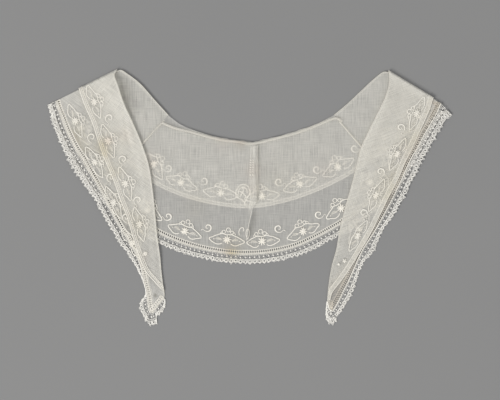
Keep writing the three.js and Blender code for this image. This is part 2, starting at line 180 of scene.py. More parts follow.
def smooth_line(points, shares):
    """Points at these shares, from 0 to 1, of a smooth line through the given ones (centripetal)."""
    points = np.asarray(points, float)
    spans = len(points) - 1
    place = np.clip(np.asarray(shares, float), 0, 1) * spans
    k = np.minimum(place.astype(int), spans - 1)
    w = (place - k)[:, None]
    ends = [2 * points[0] - points[1], 2 * points[-1] - points[-2]]
    around = np.vstack([ends[:1], points, ends[1:]])
    a, b, c, d = (around[k + i] for i in range(4))
    before, here, after = (
        np.sqrt(np.maximum(np.linalg.norm(q - p, axis=1, keepdims=True), 1e-9))
        for p, q in ((a, b), (b, c), (c, d))
    )
    leave = ((b - a) / before - (c - a) / (before + here) + (c - b) / here) * here
    arrive = ((c - b) / here - (d - b) / (here + after) + (d - c) / after) * here
    return b + leave * w + (3 * (c - b) - 2 * leave - arrive) * w**2 + (2 * (b - c) + leave + arrive) * w**3


def distances_along(lines):
    """How far along its line each point is, for one line or a stack of them."""
    steps = np.linalg.norm(np.diff(lines, axis=-2), axis=-1)
    return np.concatenate([np.zeros_like(steps[..., :1]), np.cumsum(steps, axis=-1)], axis=-1)


def at_distances(line, wanted):
    """Points of a plan line at these distances along it."""
    length = distances_along(line)
    return np.stack([np.interp(wanted, length, line[:, k]) for k in (0, 1)], axis=-1)


def sampled(rows, name, each):
    """One column of rows, with this many steps for each row."""
    return smooth_line(plan([row[name] for row in rows]), np.linspace(0, 1, (len(rows) - 1) * each + 1))


def along_hem(angle, radius):
    """A point on an arc about the hem's centre, at this angle from the middle of the back."""
    turn = math.radians(angle)
    return (HEM_CENTRE[0] + radius * math.sin(turn), HEM_CENTRE[1] - radius * math.cos(turn))


def on_arc(row):
    """The four points of a row whose hem and lace lie on their arcs."""
    return {
        "front": row["neck"],
        "short": row["short"],
        "long": along_hem(row["angle"], LONG_RADIUS - row["inset"]),
        "lace": along_hem(row["angle"], LACE_RADIUS - row["inset"]),
    }


def moved(row, shift):
    """A row with all its points shifted."""
    return {name: tuple(np.add(point, shift)) for name, point in row.items()}


def out_of_fold(start, end):
    """The unit direction out of a fold, square to its line."""
    out = unit(np.array([start[1] - end[1], end[0] - start[0]], float))
    return -out if out[1] < 0 else out


def with_short(front, short, long, lace):
    """A row over the fold. Past the end of the short tier its hem line goes on near the front edge."""
    short = short or tuple(np.add(front, TIP_SHARE * np.subtract(long, front)))
    return {"front": front, "short": short, "long": long, "lace": lace}


class Front:
    """A front of both tiers, as rows that lie under, up to the fold, and rows that lie over."""

    def __init__(self, side, shoulder):
        over = [with_short(*row) for row in OVER[side]]
        crest = over[0]
        outward = out_of_fold(crest["front"], crest["lace"])
        fold = moved(crest, -FOLD_INSET * outward)
        across = np.subtract(shoulder["lace"], shoulder["front"])
        seam_side = unit(np.array([-across[1], across[0]]))
        seam_side *= 1 if seam_side @ outward > 0 else -1
        self.side = side
        self.under = [moved(shoulder, SEAM_GAP * seam_side), *map(on_arc, UNDER[side]), fold]
        self.over = [fold, *over[1:]]
        self.tip = TIP[side]
        self.lift = LIFT[side]
        self.short_rows = SHORT_ROWS[side]
        self.outward_short = out_of_fold(crest["front"], crest["short"])
        self.outward_lace = out_of_fold(crest["short"], crest["lace"])


back_rows = [on_arc(row) for row in BACK]
fronts = {"left": Front("left", back_rows[0]), "right": Front("right", back_rows[-1])}


# ---- heights: each layer lies on the ones below it, and has creases of its own ----
GRID_STEP = 1.5 * MM
GRID_LOW = np.array([-0.232, -0.15])
GRID_SIZE = (310, 202)
grid_points = np.stack(
    np.meshgrid(*(low + GRID_STEP * np.arange(n) for low, n in zip(GRID_LOW, GRID_SIZE)), indexing="ij"),
    axis=-1,
).reshape(-1, 2)


def to_segment(start, end, points):
    """How far along a segment each point is, and how far from it."""
    way = end - start
    share = np.clip((points - start) @ way / max(way @ way, 1e-12), 0, 1)
    return share, np.linalg.norm(points - start - share[:, None] * way, axis=1)


def distance_outside(outline, points):
    """Distance from an outline, 0 inside it."""
    nearest = np.full(len(points), np.inf)
    inside = np.zeros(len(points), bool)
    for start, end in zip(np.roll(outline, 1, axis=0), outline):
        nearest = np.minimum(nearest, to_segment(start, end, points)[1])
        crosses = (start[1] > points[:, 1]) != (end[1] > points[:, 1])
        rise = end[1] - start[1] or 1e-12
        meets = (end[0] - start[0]) * (points[:, 1] - start[1]) / rise + start[0]
        inside ^= crosses & (points[:, 0] < meets)
    return np.where(inside, 0, nearest)


def cover(outlines):
    """1 over a layer, falling to 0 away from it."""
    gap = np.min([distance_outside(outline, grid_points) for outline in outlines], axis=0)
    return 1 - smoothstep(gap, COVER_MARGIN * MM, (COVER_MARGIN + COVER_FALL) * MM)


def outline_of(rows, outer):
    """A closed line along the front edge and back along another one."""
    return np.vstack([sampled(rows, "front", 4), sampled(rows, outer, 4)[::-1]])


lower_rows = [*fronts["left"].under[::-1], *back_rows, *fronts["right"].under]
COVERS = [
    cover([outline_of(lower_rows, "short")]),
    cover([outline_of(lower_rows, "lace")]),
    cover([outline_of(front.over, "lace") for front in fronts.values()]),
]

# Soft creases: where they start, bend and end, how wide and how high they stand.
CREASES = {
    "lower": [
        ((3, -10, -2.0, -36, -3.5, -54), 3.0, 1.7),
        ((9, -12, 5, -28, 1, -46), 3.2, -1.3),
        ((-141, 132, -136, 114, -127, 90), 8.0, 2.8),
        ((13, 40, 12, 10, 9, -12), 2.5, 0.3),
        ((-62, 62, -70, 42, -92, 22), 7.0, 0.35),
        ((58, 64, 66, 48, 88, 36), 8.0, 0.3),
        ((-125, 112, -112, 84, -118, 60), 5.0, -0.35),
        ((-113, 112, -104, 90, -106, 66), 5.0, 0.45),
        ((128, 112, 118, 94, 124, 70), 5.0, 0.35),
        ((-40, 58, -44, 30, -60, 0), 9.0, 0.2),
        ((38, 60, 40, 34, 30, 4), 9.0, 0.2),
        ((-84, -24, -60, -40, -30, -50), 6.0, 0.25),
        ((40, -44, 62, -34, 84, -20), 6.0, 0.25),
        ((110, 92, 96, 70, 100, 44), 6.0, -0.25),
    ],
    "left": [
        ((-137.5, 96, -135.5, 76, -131.5, 56), 1.7, -0.6),
        ((-132.5, 88, -130, 72, -126, 52), 2.6, 0.5),
        ((-150, 135, -154, 128, -159, 117), 2.6, 0.55),
        ((-150, 122, -152, 96, -146, 72), 7.0, 0.4),
        ((-166, 118, -176, 98, -178, 76), 6.0, -0.35),
        ((-121, 48, -116, 20, -113, -18), 3.0, 0.45),
        ((-126, 30, -124, 0, -119, -30), 3.5, -0.4),
        ((-108, -40, -104, -66, -104, -90), 2.6, 0.5),
        ((-114, -66, -108, -84, -99, -94), 2.0, -0.4),
        ((-106, -92, -104, -102, -108, -114), 2.0, 0.4),
    ],
    "right": [
        ((155, 136, 150, 104, 140, 76), 4.0, 0.6),
        ((166, 126, 164, 100, 150, 70), 5.0, -0.45),
        ((186, 112, 178, 92, 166, 70), 5.0, 0.4),
        ((136, 66, 128, 36, 120, 4), 3.5, 0.45),
        ((146, 48, 140, 18, 130, -10), 4.0, -0.4),
        ((108, -30, 100, -62, 93, -96), 2.8, 0.5),
        ((120, -28, 112, -54, 100, -84), 3.0, -0.4),
    ],
}


def nearest_on(path):
    """How far each grid point is from a path, and the place beside it, in segments from the start."""
    nearest = np.full(len(grid_points), np.inf)
    place = np.zeros(len(grid_points))
    for i, (start, end) in enumerate(zip(path, path[1:])):
        share, distance = to_segment(start, end, grid_points)
        closer = distance < nearest
        nearest = np.where(closer, distance, nearest)
        place = np.where(closer, i + share, place)
    return nearest, place


def crease_field(creases):
    """Height that the creases add over the grid, with a slow unevenness under them."""
    x, y = grid_points.T / MM
    field = 0.10 * np.sin(x / 11 + 1.3 * np.sin(y / 17)) + 0.08 * np.sin(y / 8.5 + 0.9 * np.sin(x / 13 + 2))
    for points, width, height in creases:
        path = smooth_line(plan(np.reshape(points, (3, 2))), np.linspace(0, 1, 13))
        nearest, place = nearest_on(path)
        along = place / (len(path) - 1)
        taper = np.sin(np.pi * np.clip(along, 0.001, 0.999)) ** 0.6
        spread = width * MM * (0.55 + 0.45 * taper)
        field += height * taper * np.exp(-((nearest / spread) ** 2))
    return field * MM


def lift_field(front):
    """How far the front edge of a front stands off the layers below it."""
    each = 4
    nearest, place = nearest_on(sampled(front.over, "front", each))
    lift = front.lift
    along = np.clip((place / each - lift["from"]) / (lift["to"] - lift["from"]), 0, 1)
    across = 1 - smoothstep(nearest, 0, lift["reach"] * MM)
    return lift["height"] * MM * across * np.sin(np.pi * along) ** 2


def near_fold(front):
    """0 at the fold, 1 well away from it, so that creases die out there."""
    start, end = plan([front.over[0]["front"], front.over[0]["lace"]])
    return smoothstep(to_segment(start, end, grid_points)[1], 2 * MM, 14 * MM)


away_from_folds = np.minimum(near_fold(fronts["left"]), near_fold(fronts["right"]))


class Surface:
    """Height of the middle of one layer anywhere in plan."""

    def __init__(self, layer, stack="lower"):
        height = (WALL / 2 + LAYER * sum(COVERS[:layer], np.zeros(len(grid_points)))) * MM
        if stack in fronts:
            height += lift_field(fronts[stack])
        height += crease_field(CREASES[stack]) * away_from_folds
        self.height = np.maximum(height, WALL / 2 * MM).reshape(GRID_SIZE)

    def __call__(self, points):
        place = (points - GRID_LOW) / GRID_STEP
        x, y = (np.clip(place[..., k], 0, GRID_SIZE[k] - 1.001) for k in (0, 1))
        i, j = x.astype(int), y.astype(int)
        fx, fy = x - i, y - j
        low, high = (mix(self.height[i, k], self.height[i + 1, k], fx) for k in (j, j + 1))
        return mix(low, high, fy)

    def lay(self, points, raised=0.0):
        """Plan points put on the surface."""
        return np.concatenate([points, (self(points) + raised)[..., None]], axis=-1)


surfaces = {
    ("back", "short"): Surface(0),
    ("back", "long"): Surface(1),
    "on_back": Surface(2),
}
for side in fronts:
    surfaces[side, "short"] = Surface(3, side)
    surfaces[side, "long"] = Surface(2, side)

# ---- runs: lines or strips of points that follow a tier from a seam, round the fold to the tip ----
FOLD_STEPS = 14
ROUND_END = 1.9  # how far the fold bulges on past its line at the neck


class Run:
    """Rows of points on a tier, with the way out of the cloth and the flat cut's own coordinates."""

    def __init__(self, points, out, cut):
        self.points, self.out, self.cut = points, out, cut


def run_on_back(points, tier, raised=0.0):
    placed = surfaces["back", tier].lay(points, raised)
    return Run(placed, np.broadcast_to(UP, placed.shape), points)


def run_on_front(front, tier, under, over, raised=0.0):
    """Strips under and over, each with as many columns, joined round the fold."""
    radius = (LONG_FOLD_RADIUS if tier == "long" else SHORT_FOLD_RADIUS) * MM
    low = surfaces["back", tier].lay(under, raised)
    high = surfaces[front.side, tier].lay(over, raised)
    start, bend, end = plan([front.over[0][name] for name in ("front", "short", "lace")])
    line = unit(end - start)
    past = np.clip(((under[-1] - bend) @ line) / (6 * MM) + 0.5, 0, 1)[:, None]
    outward = unit(mix(front.outward_short, front.outward_lace, past))
    outward = np.concatenate([outward, np.zeros((len(outward), 1))], axis=1)
    middle = (low[-1] + high[0]) / 2
    turns = [math.pi * (i + 1) / FOLD_STEPS for i in range(FOLD_STEPS - 1)]
    outs = [UP * math.cos(turn) - outward * math.sin(turn) for turn in turns]
    near_end = np.exp(-np.maximum((under[-1] - start) @ line, 0) / (5 * MM))[:, None]
    bulge = -ROUND_END * MM * near_end * np.append(line, 0)
    tube = np.array([middle - out * radius + bulge * math.sin(turn) for out, turn in zip(outs, turns)])
    mirrored = start + 2 * ((over - start) @ line)[..., None] * line - (over - start)
    flat_turn = [mix(under[-1], mirrored[0], turn / math.pi) for turn in turns]
    out = [np.broadcast_to(UP, low.shape), outs, np.broadcast_to(-UP, high.shape)]
    parts = ([low, tube, high], out, [under, flat_turn, mirrored])
    return Run(*map(np.concatenate, parts))


COLUMNS = 58
ROWS_EACH = 12  # steps for each row of a front
BACK_ROWS_EACH = 20
# From each hem in to where its cloth starts.
LADDER = {
    ("back", "long"): 4.2, ("left", "long"): 4.2, ("right", "long"): 5.0,
    ("back", "short"): 3.6, ("left", "short"): 3.9, ("right", "short"): 4.8,
}


def strip_between(inner, outer, columns):
    """Plan points on straight lines from one line to another."""
    share = np.linspace(0, 1, columns + 1)[:, None]
    return mix(inner[:, None], outer[:, None], share)


def shortened(row_points, trim):
    """Each row's points, from its front edge outwards, with this length taken off the outer end."""
    result = []
    for points in row_points:
        whole = distances_along(points)[-1]
        keep = whole - min(trim, 0.45 * whole)
        result.append(at_distances(points, np.linspace(0, keep, COLUMNS + 1)))
    return np.array(result)


def cloth_rows(rows, key, tier, each):
    """Plan points of a tier's cloth, from its front or neck edge out to its ladder."""
    names = ["front", "short", "long"] if tier == "long" else ["front", "short"]
    lines = np.stack([sampled(rows, name, each) for name in names], axis=1)
    return shortened(lines, LADDER[key, tier] * MM)


def tier_rows(front, tier):
    """The rows of a tier that lie over: the short tier ends before the tip."""
    return front.over if tier == "long" else front.over[: front.short_rows]


def back_cloth(tier):
    """The back of a tier. The short one is joined on a little below the neck edge."""
    points = cloth_rows(back_rows, "back", tier, BACK_ROWS_EACH)
    if tier == "short":
        shares, knots = (np.linspace(0, 1, count) for count in (len(points), len(BACK)))
        join = np.interp(shares, knots, [row["join"] for row in BACK])
        way = unit(points[:, -1] - points[:, 0])
        points = strip_between(points[:, 0] + way * join[:, None] * MM, points[:, -1], COLUMNS)
    return run_on_back(points, tier)


def front_cloth(front, tier):
    parts = (front.under, tier_rows(front, tier))
    return run_on_front(front, tier, *(cloth_rows(rows, front.side, tier, ROWS_EACH) for rows in parts))


# ---- edges: the hems as lines in plan, with the way in towards the cloth ----
EDGE_EACH = 16


class Edge:
    """A hem in plan, under the fold and over it, with its unit directions into the cloth."""

    def __init__(self, tier, front=None):
        self.tier, self.front = tier, front
        if front is None:
            self.lines = [sampled(back_rows, tier, EDGE_EACH)]
            self.aims = [sampled(back_rows, "front", EDGE_EACH)]
        else:
            parts = (front.under, tier_rows(front, tier))
            self.lines = [sampled(rows, tier, EDGE_EACH) for rows in parts]
            self.aims = [sampled(rows, "front", EDGE_EACH) for rows in parts]
            if tier == "long":
                self.turn_tip()
        self.inward = [self.ways_in(line, aim) for line, aim in zip(self.lines, self.aims)]
        if front is not None:
            self.meet_at_fold()

    def turn_tip(self):
        """Goes on round the tip and back up the front edge."""
        count = self.front.tip["rows"] * EDGE_EACH
        for parts, name in ((self.lines, "front"), (self.aims, "long")):
            back_up = sampled(self.front.over, name, EDGE_EACH)[::-1][: count + 1]
            parts[1] = np.vstack([parts[1], back_up])

    @staticmethod
    def ways_in(line, aim):
        """Square to the line on the side of its aim, smoothed a little."""
        along = np.gradient(line, axis=0)
        square = unit(np.stack([-along[:, 1], along[:, 0]], axis=1))
        side = np.sign(np.sum(square * (aim - line), axis=1, keepdims=True))
        ways = square * np.where(side == 0, 1, side)
        for _ in range(3):
            ways[1:-1] = unit(ways[:-2] + 2 * ways[1:-1] + ways[2:])
        return ways

    def meet_at_fold(self):
        """Beside the fold both parts lean towards its line, so that they meet on it."""
        reach = 14
        line = unit(plan(self.front.over[0]["front"]) - plan(self.front.over[0][self.tier]))
        for ways, order in ((self.inward[0], slice(None, None, -1)), (self.inward[1], slice(None))):
            lean = np.clip(1 - np.arange(len(ways)) / reach, 0, 1)[:, None]
            ways[order] = unit(mix(ways[order], line, lean))

    def run(self, insets, raised=0.0):
        """A strip with a column at each inset, counted into the cloth."""
        strips = []
        for line, aim, way in zip(self.lines, self.aims, self.inward):
            room = np.linalg.norm(aim - line, axis=1)[:, None]
            kept = np.minimum(np.array(insets, float), 0.85 * room)[..., None]
            strips.append(line[:, None] + way[:, None] * kept)
        if self.front is None:
            return run_on_back(strips[0], self.tier, raised)
        return run_on_front(self.front, self.tier, *strips, raised)


edges = {}
for tier in ("short", "long"):
    edges["back", tier] = Edge(tier)
    for side, front in fronts.items():
        edges[side, tier] = Edge(tier, front)


def lace_run(front=None):
    """The lace from its foot, on the edge of the cloth, to its rim."""
    if front is None:
        rails = [sampled(back_rows, name, EDGE_EACH) for name in ("long", "lace")]
        return run_on_back(strip_between(*rails, 1), "long")
    under = [sampled(front.under, name, EDGE_EACH) for name in ("long", "lace")]
    rim = sampled(front.over, "lace", EDGE_EACH)
    turned_rim = smooth_line(plan(front.tip["lace"]), np.linspace(0, 1, front.tip["rows"] * EDGE_EACH + 1))
    over = [edges[front.side, "long"].lines[1], np.vstack([rim, turned_rim])]
    return run_on_front(front, "long", strip_between(*under, 1), strip_between(*over, 1))


# ---- meshes ----
class Work:
    """Cloth strips and threads gathered into one mesh."""

    def __init__(self):
        self.points, self.faces, self.maps, self.count = [], [], [], 0

    def add(self, points, faces, places):
        """places holds two coordinates for each point, for the finish."""
        self.points.append(points)
        self.faces.append(faces + self.count)
        self.maps.append(places)
        self.count += len(points)

    def strip(self, run):
        """A run's points as one sheet that faces the way its out says."""
        rows, columns = run.points.shape[:2]
        index = np.arange(rows * columns).reshape(rows, columns)
        corners = [index[:-1, :-1], index[1:, :-1], index[1:, 1:], index[:-1, 1:]]
        faces = np.stack([c.ravel() for c in corners], axis=1)
        ahead = run.points[1, 0] - run.points[0, 0]
        across = run.points[0, -1] - run.points[0, 0]
        if np.cross(ahead, across) @ run.out[0, 0] < 0:
            faces = faces[:, ::-1]
        self.add(run.points.reshape(-1, 3), faces, run.cut.reshape(-1, 2))

    def threads(self, paths, outs, width, height, sides=5, closed=False):
        """Tubes along many paths at once. width and height are half sizes, for each point if given."""
        paths = np.asarray(paths, float)
        many, count = paths.shape[:2]
        outs = np.broadcast_to(outs, paths.shape)
        if closed:
            along = unit(np.roll(paths, -1, axis=1) - np.roll(paths, 1, axis=1))
        else:
            along = unit(np.gradient(paths, axis=1))
        side = unit(np.cross(outs, along))
        up = np.cross(along, side)
        turn = 2 * math.pi * np.arange(sides) / sides
        width, height = (np.broadcast_to(size, (many, count))[:, :, None, None] for size in (width, height))
        across = side[:, :, None] * width * np.cos(turn)[:, None]
        upward = up[:, :, None] * height * np.sin(turn)[:, None]
        points = (paths[:, :, None] + (across + upward)).reshape(-1, 3)
        index = np.arange(many * count * sides).reshape(many, count, sides)
        after = np.roll(index, -1, axis=1) if closed else index[:, 1:]
        here = index if closed else index[:, :-1]
        corners = [here, np.roll(here, -1, axis=2), np.roll(after, -1, axis=2), after]
        faces = np.stack([c.ravel() for c in corners], axis=1)
        both = (distances_along(paths)[:, :, None], turn / (2 * math.pi))
        places = np.stack([np.broadcast_to(place, index.shape) for place in both], axis=-1)
        self.add(points, faces, places.reshape(-1, 2))

    def piece(self, name, finish, slot, replaced=(), attributes=None):
        """The finished mesh, stained and darkened by painted shade from its place, unless it has attributes
        of its own.
        """
        points, faces, places = (np.concatenate(part) for part in (self.points, self.faces, self.maps))
        mesh = bpy.data.meshes.new(name)
        mesh.vertices.add(len(points))
        mesh.vertices.foreach_set("co", points.astype(np.float32).ravel())
        mesh.loops.add(faces.size)
        mesh.loops.foreach_set("vertex_index", faces.astype(np.int32).ravel())
        mesh.polygons.add(len(faces))
        mesh.polygons.foreach_set("loop_start", np.arange(0, faces.size, 4, dtype=np.int32))
        mesh.polygons.foreach_set("use_smooth", np.ones(len(faces), bool))
        layer = mesh.uv_layers.new(name="thread")
        mesh.update(calc_edges=True)
        layer.uv.foreach_set("vector", places[faces.ravel()].astype(np.float32).ravel())
        for key, values in (attributes or {"stain": marks_and_shade(points)}).items():
            kind = "FLOAT_COLOR" if values.ndim == 2 else "FLOAT"
            attribute = mesh.attributes.new(key, kind, "POINT")
            field = "color" if values.ndim == 2 else "value"
            attribute.data.foreach_set(field, values.astype(np.float32).ravel())
        mesh.validate()
        mesh.materials.append(finish)
        piece = bpy.data.objects.new(name, mesh)
        bpy.context.scene.collection.objects.link(piece)
        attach(piece, "root")
        if replaced:
            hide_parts(*replaced)
        return piece


def at_places(run, places):
    """A run's points and ways out at fractional row numbers."""
    k = np.clip(places.astype(int), 0, len(run.points) - 2)
    w = (places - k)[:, None, None]
    return mix(run.points[k], run.points[k + 1], w), unit(mix(run.out[k], run.out[k + 1], w))


def even_places(run, pitch, columns=0):
    """Fractional row numbers at even distances along a column, or between two, nearest to this pitch."""
    steps = np.linalg.norm(np.diff(run.points[:, columns], axis=0), axis=-1)
    steps = steps if steps.ndim == 1 else steps.max(axis=1)
    length = np.concatenate([[0], np.cumsum(steps)])
    count = max(int(round(length[-1] / pitch)), 1)
    return np.interp(np.linspace(0, length[-1], count + 1), length, np.arange(len(length)))


# ---- finishes ----
class Socket:
    """A value or colour in a finish, which Python's operators turn into more nodes."""

    def __init__(self, finish, link):
        self.finish, self.link = finish, link

    def maths(self, operation, *values):
        return self.finish.node("Math", dict(enumerate(values)), operation=operation)

    def __add__(self, other):
        return self.maths("ADD", self, other)

    def __sub__(self, other):
        return self.maths("SUBTRACT", self, other)

    def __rsub__(self, other):
        return self.maths("SUBTRACT", other, self)

    def __mul__(self, other):
        return self.maths("MULTIPLY", self, other)

    def __pow__(self, other):
        return self.maths("POWER", self, other)

    def sine(self):
        return self.maths("SINE", self)

    def clamped(self, low=0.0, high=1.0):
        return self.maths("MINIMUM", self.maths("MAXIMUM", self, low), high)

    __radd__ = __add__
    __rmul__ = __mul__


class Finish:
    """A material in the making."""

    def __init__(self, name):
        self.material = bpy.data.materials.new(name)
        self.material.use_nodes = True
        self.tree = self.material.node_tree
        self.tree.nodes.clear()

    def node(self, kind, inputs=None, output=0, **settings):
        """Adds a node, sets it, and gives its inputs values or links. Returns one of its outputs."""
        node = self.tree.nodes.new("ShaderNode" + kind)
        for name, value in settings.items():
            if name == "stops":
                self.set_stops(node.color_ramp, value)
            else:
                setattr(node, name, value)
        for key, value in (inputs or {}).items():
            if isinstance(value, Socket):
                self.tree.links.new(value.link, node.inputs[key])
            else:
                node.inputs[key].default_value = value
        return Socket(self, node.outputs[output]) if len(node.outputs) else None

    @staticmethod
    def set_stops(ramp, stops):
        while len(ramp.elements) < len(stops):
            ramp.elements.new(1.0)
        for element, (position, color) in zip(ramp.elements, stops):
            element.position = position
            element.color = (*color, 1.0)

    def blended(self, share, first, second, mode="MIX"):
        """Mixes two colours."""
        return self.node("Mix", {0: share, 6: first, 7: second}, output=2, data_type="RGBA", blend_type=mode)

    def marked_and_shaded(self, colour):
        """The colour under the stains and the painted shade."""
        stain = self.node("Attribute", output=0, attribute_name="stain")
        return self.blended(1.0, colour, stain, "MULTIPLY")

    def along_and_across(self):
        """The thread map, and its two coordinates."""
        place = self.node("UVMap", uv_map="thread")
        return place, *(self.node("SeparateXYZ", {0: place}, output=k) for k in (0, 1))

    def noise(self, vector, scale, detail=2.0):
        return self.node("TexNoise", {"Vector": vector, "Scale": scale, "Detail": detail})

    def surface(self, inputs, opacity=None):
        """The finished surface. With an opacity, as much light goes through the threads as comes back."""
        shader = self.node("BsdfPrincipled", inputs)
        if opacity is not None:
            behind = self.node("BsdfTranslucent", {"Color": THROUGH, "Normal": inputs["Normal"]})
            shader = self.node("MixShader", {0: PASSED_ON, 1: shader, 2: behind})
            clear = self.node("BsdfTransparent")
            shader = self.node("MixShader", {0: opacity, 1: clear, 2: shader})
        self.node("OutputMaterial", {"Surface": shader})
        return self.material


WARP_PITCH = 0.42 * MM
WEFT_PITCH = 0.46 * MM
SHEER = 0.43  # share of one layer of batiste that is thread
PASSED_ON = 0.34  # share of the light on the threads that comes out behind them
COTTON = (0.895, 0.873, 0.818, 1.0)
THROUGH = (0.93, 0.912, 0.86, 1.0)  # light that has gone through cotton


def batiste():
    """Sheer plain weave: fine uneven threads, thicker slubs, hems that are double, and stains with painted
    shade.
    """
    finish = Finish("sheer cotton batiste")
    place, u, v = finish.along_and_across()
    wander = finish.noise(place, 260.0, 1.0) - 0.5
    warp = ((u + wander * (0.6 * WARP_PITCH)) * (2 * math.pi / WARP_PITCH)).sine()
    weft = ((v + wander * (0.6 * WEFT_PITCH)) * (2 * math.pi / WEFT_PITCH)).sine()
    across = finish.node("CombineXYZ", {0: u * 1150.0, 1: v * 52.0})
    along = finish.node("CombineXYZ", {0: u * 60.0, 1: v * 1200.0})
    slubs = (finish.noise(across, 1.0, 3.0) - 0.5) * 0.95 + (finish.noise(along, 1.0, 3.0) - 0.5) * 0.6
    cloudy = finish.noise(place, 55.0, 4.0) - 0.5
    # This attribute counts extra layers of cloth. On the centre tuck it also carries a painted highlight and
    # painted shade.
    doubled = finish.node("Attribute", output=2, attribute_name="doubled")
    single = (warp * 0.07 + weft * 0.06 + slubs * 0.5 + cloudy * 0.22 + SHEER).clamped(0.05, 0.92)
    clear = (1 - single) ** (doubled + 1)
    shade = (slubs * 0.3 + cloudy * 0.4 + 0.5).clamped()
    thread = finish.blended(shade, (0.905, 0.886, 0.825, 1), (0.965, 0.948, 0.893, 1))
    relief = finish.node(
        "Bump", {"Strength": 0.3, "Distance": 0.00015, "Height": warp * 0.5 + weft * 0.5 + slubs * 2.0}
    )
    return finish.surface(
        {
            "Base Color": finish.marked_and_shaded(thread),
            "Roughness": 0.85,
            "Normal": relief,
            "Sheen Weight": 0.1,
            "Sheen Roughness": 0.45,
            "Specular IOR Level": 0.2,
        },
        1 - clear,
    )


def twisted_thread(name, light, dark, pitch, roughness, sheen):
    """Plied cotton: slanting grooves round a thread, and a little unevenness."""
    finish = Finish(name)
    _, u, v = finish.along_and_across()
    ply = ((u * (1 / pitch) + v * 2.0) * (2 * math.pi)).sine() * 0.5 + 0.5
    where = finish.node("TexCoord", output=3)
    uneven = finish.noise(where, 160.0, 2.0)
    shade = (ply * 0.55 + uneven * 0.6 - 0.1).clamped()
    colour = finish.blended(shade, dark, light)
    relief = finish.node("Bump", {"Strength": 0.5, "Distance": 0.00012, "Height": ply})
    return finish.surface(
        {
            "Base Color": finish.marked_and_shaded(colour),
            "Roughness": roughness,
            "Normal": relief,
            "Sheen Weight": sheen,
            "Sheen Roughness": 0.4,
            "Specular IOR Level": 0.3,
        }
    )


def fine_tape(name, light, dark):
    """Closely woven narrow cotton, for headings, hem bands and bindings."""
    finish = Finish(name)
    place, u, v = finish.along_and_across()
    twill = 2 * math.pi / (0.5 * MM)
    ribs = ((u + v) * twill).sine() * ((u - v) * twill).sine()
    uneven = finish.noise(place, 300.0, 2.0) - 0.5
    colour = finish.blended((ribs * 0.2 + uneven * 0.6 + 0.55).clamped(), dark, light)
    relief = finish.node("Bump", {"Strength": 0.4, "Distance": 0.0001, "Height": ribs})
    return finish.surface(
        {
            "Base Color": finish.marked_and_shaded(colour),
            "Roughness": 0.8,
            "Normal": relief,
            "Sheen Weight": 0.15,
            "Specular IOR Level": 0.25,
        },
        (ribs * 0.15 + uneven * 0.5 + 0.75).clamped(0.3, 1.0),
    )


CLOTH = batiste()
SILKY = twisted_thread("embroidery cotton", COTTON, (0.84, 0.80, 0.71, 1), 0.9 * MM, 0.6, 0.2)
WORN = twisted_thread(
    "worn embroidery cotton", (0.825, 0.805, 0.752, 1), (0.77, 0.735, 0.655, 1), 0.9 * MM, 0.7, 0.15
)
LACE = twisted_thread("lace cotton", (0.945, 0.928, 0.882, 1), (0.84, 0.818, 0.765, 1), 0.7 * MM, 0.7, 0.15)
TANNED = twisted_thread("tanned thread", (0.80, 0.755, 0.67, 1), (0.64, 0.58, 0.49, 1), 0.8 * MM, 0.8, 0.1)
TAPE = fine_tape("close cotton tape", COTTON, (0.88, 0.86, 0.80, 1))
YELLOWED = fine_tape("yellowed cotton tape", (0.95, 0.93, 0.86, 1), (0.92, 0.885, 0.80, 1))
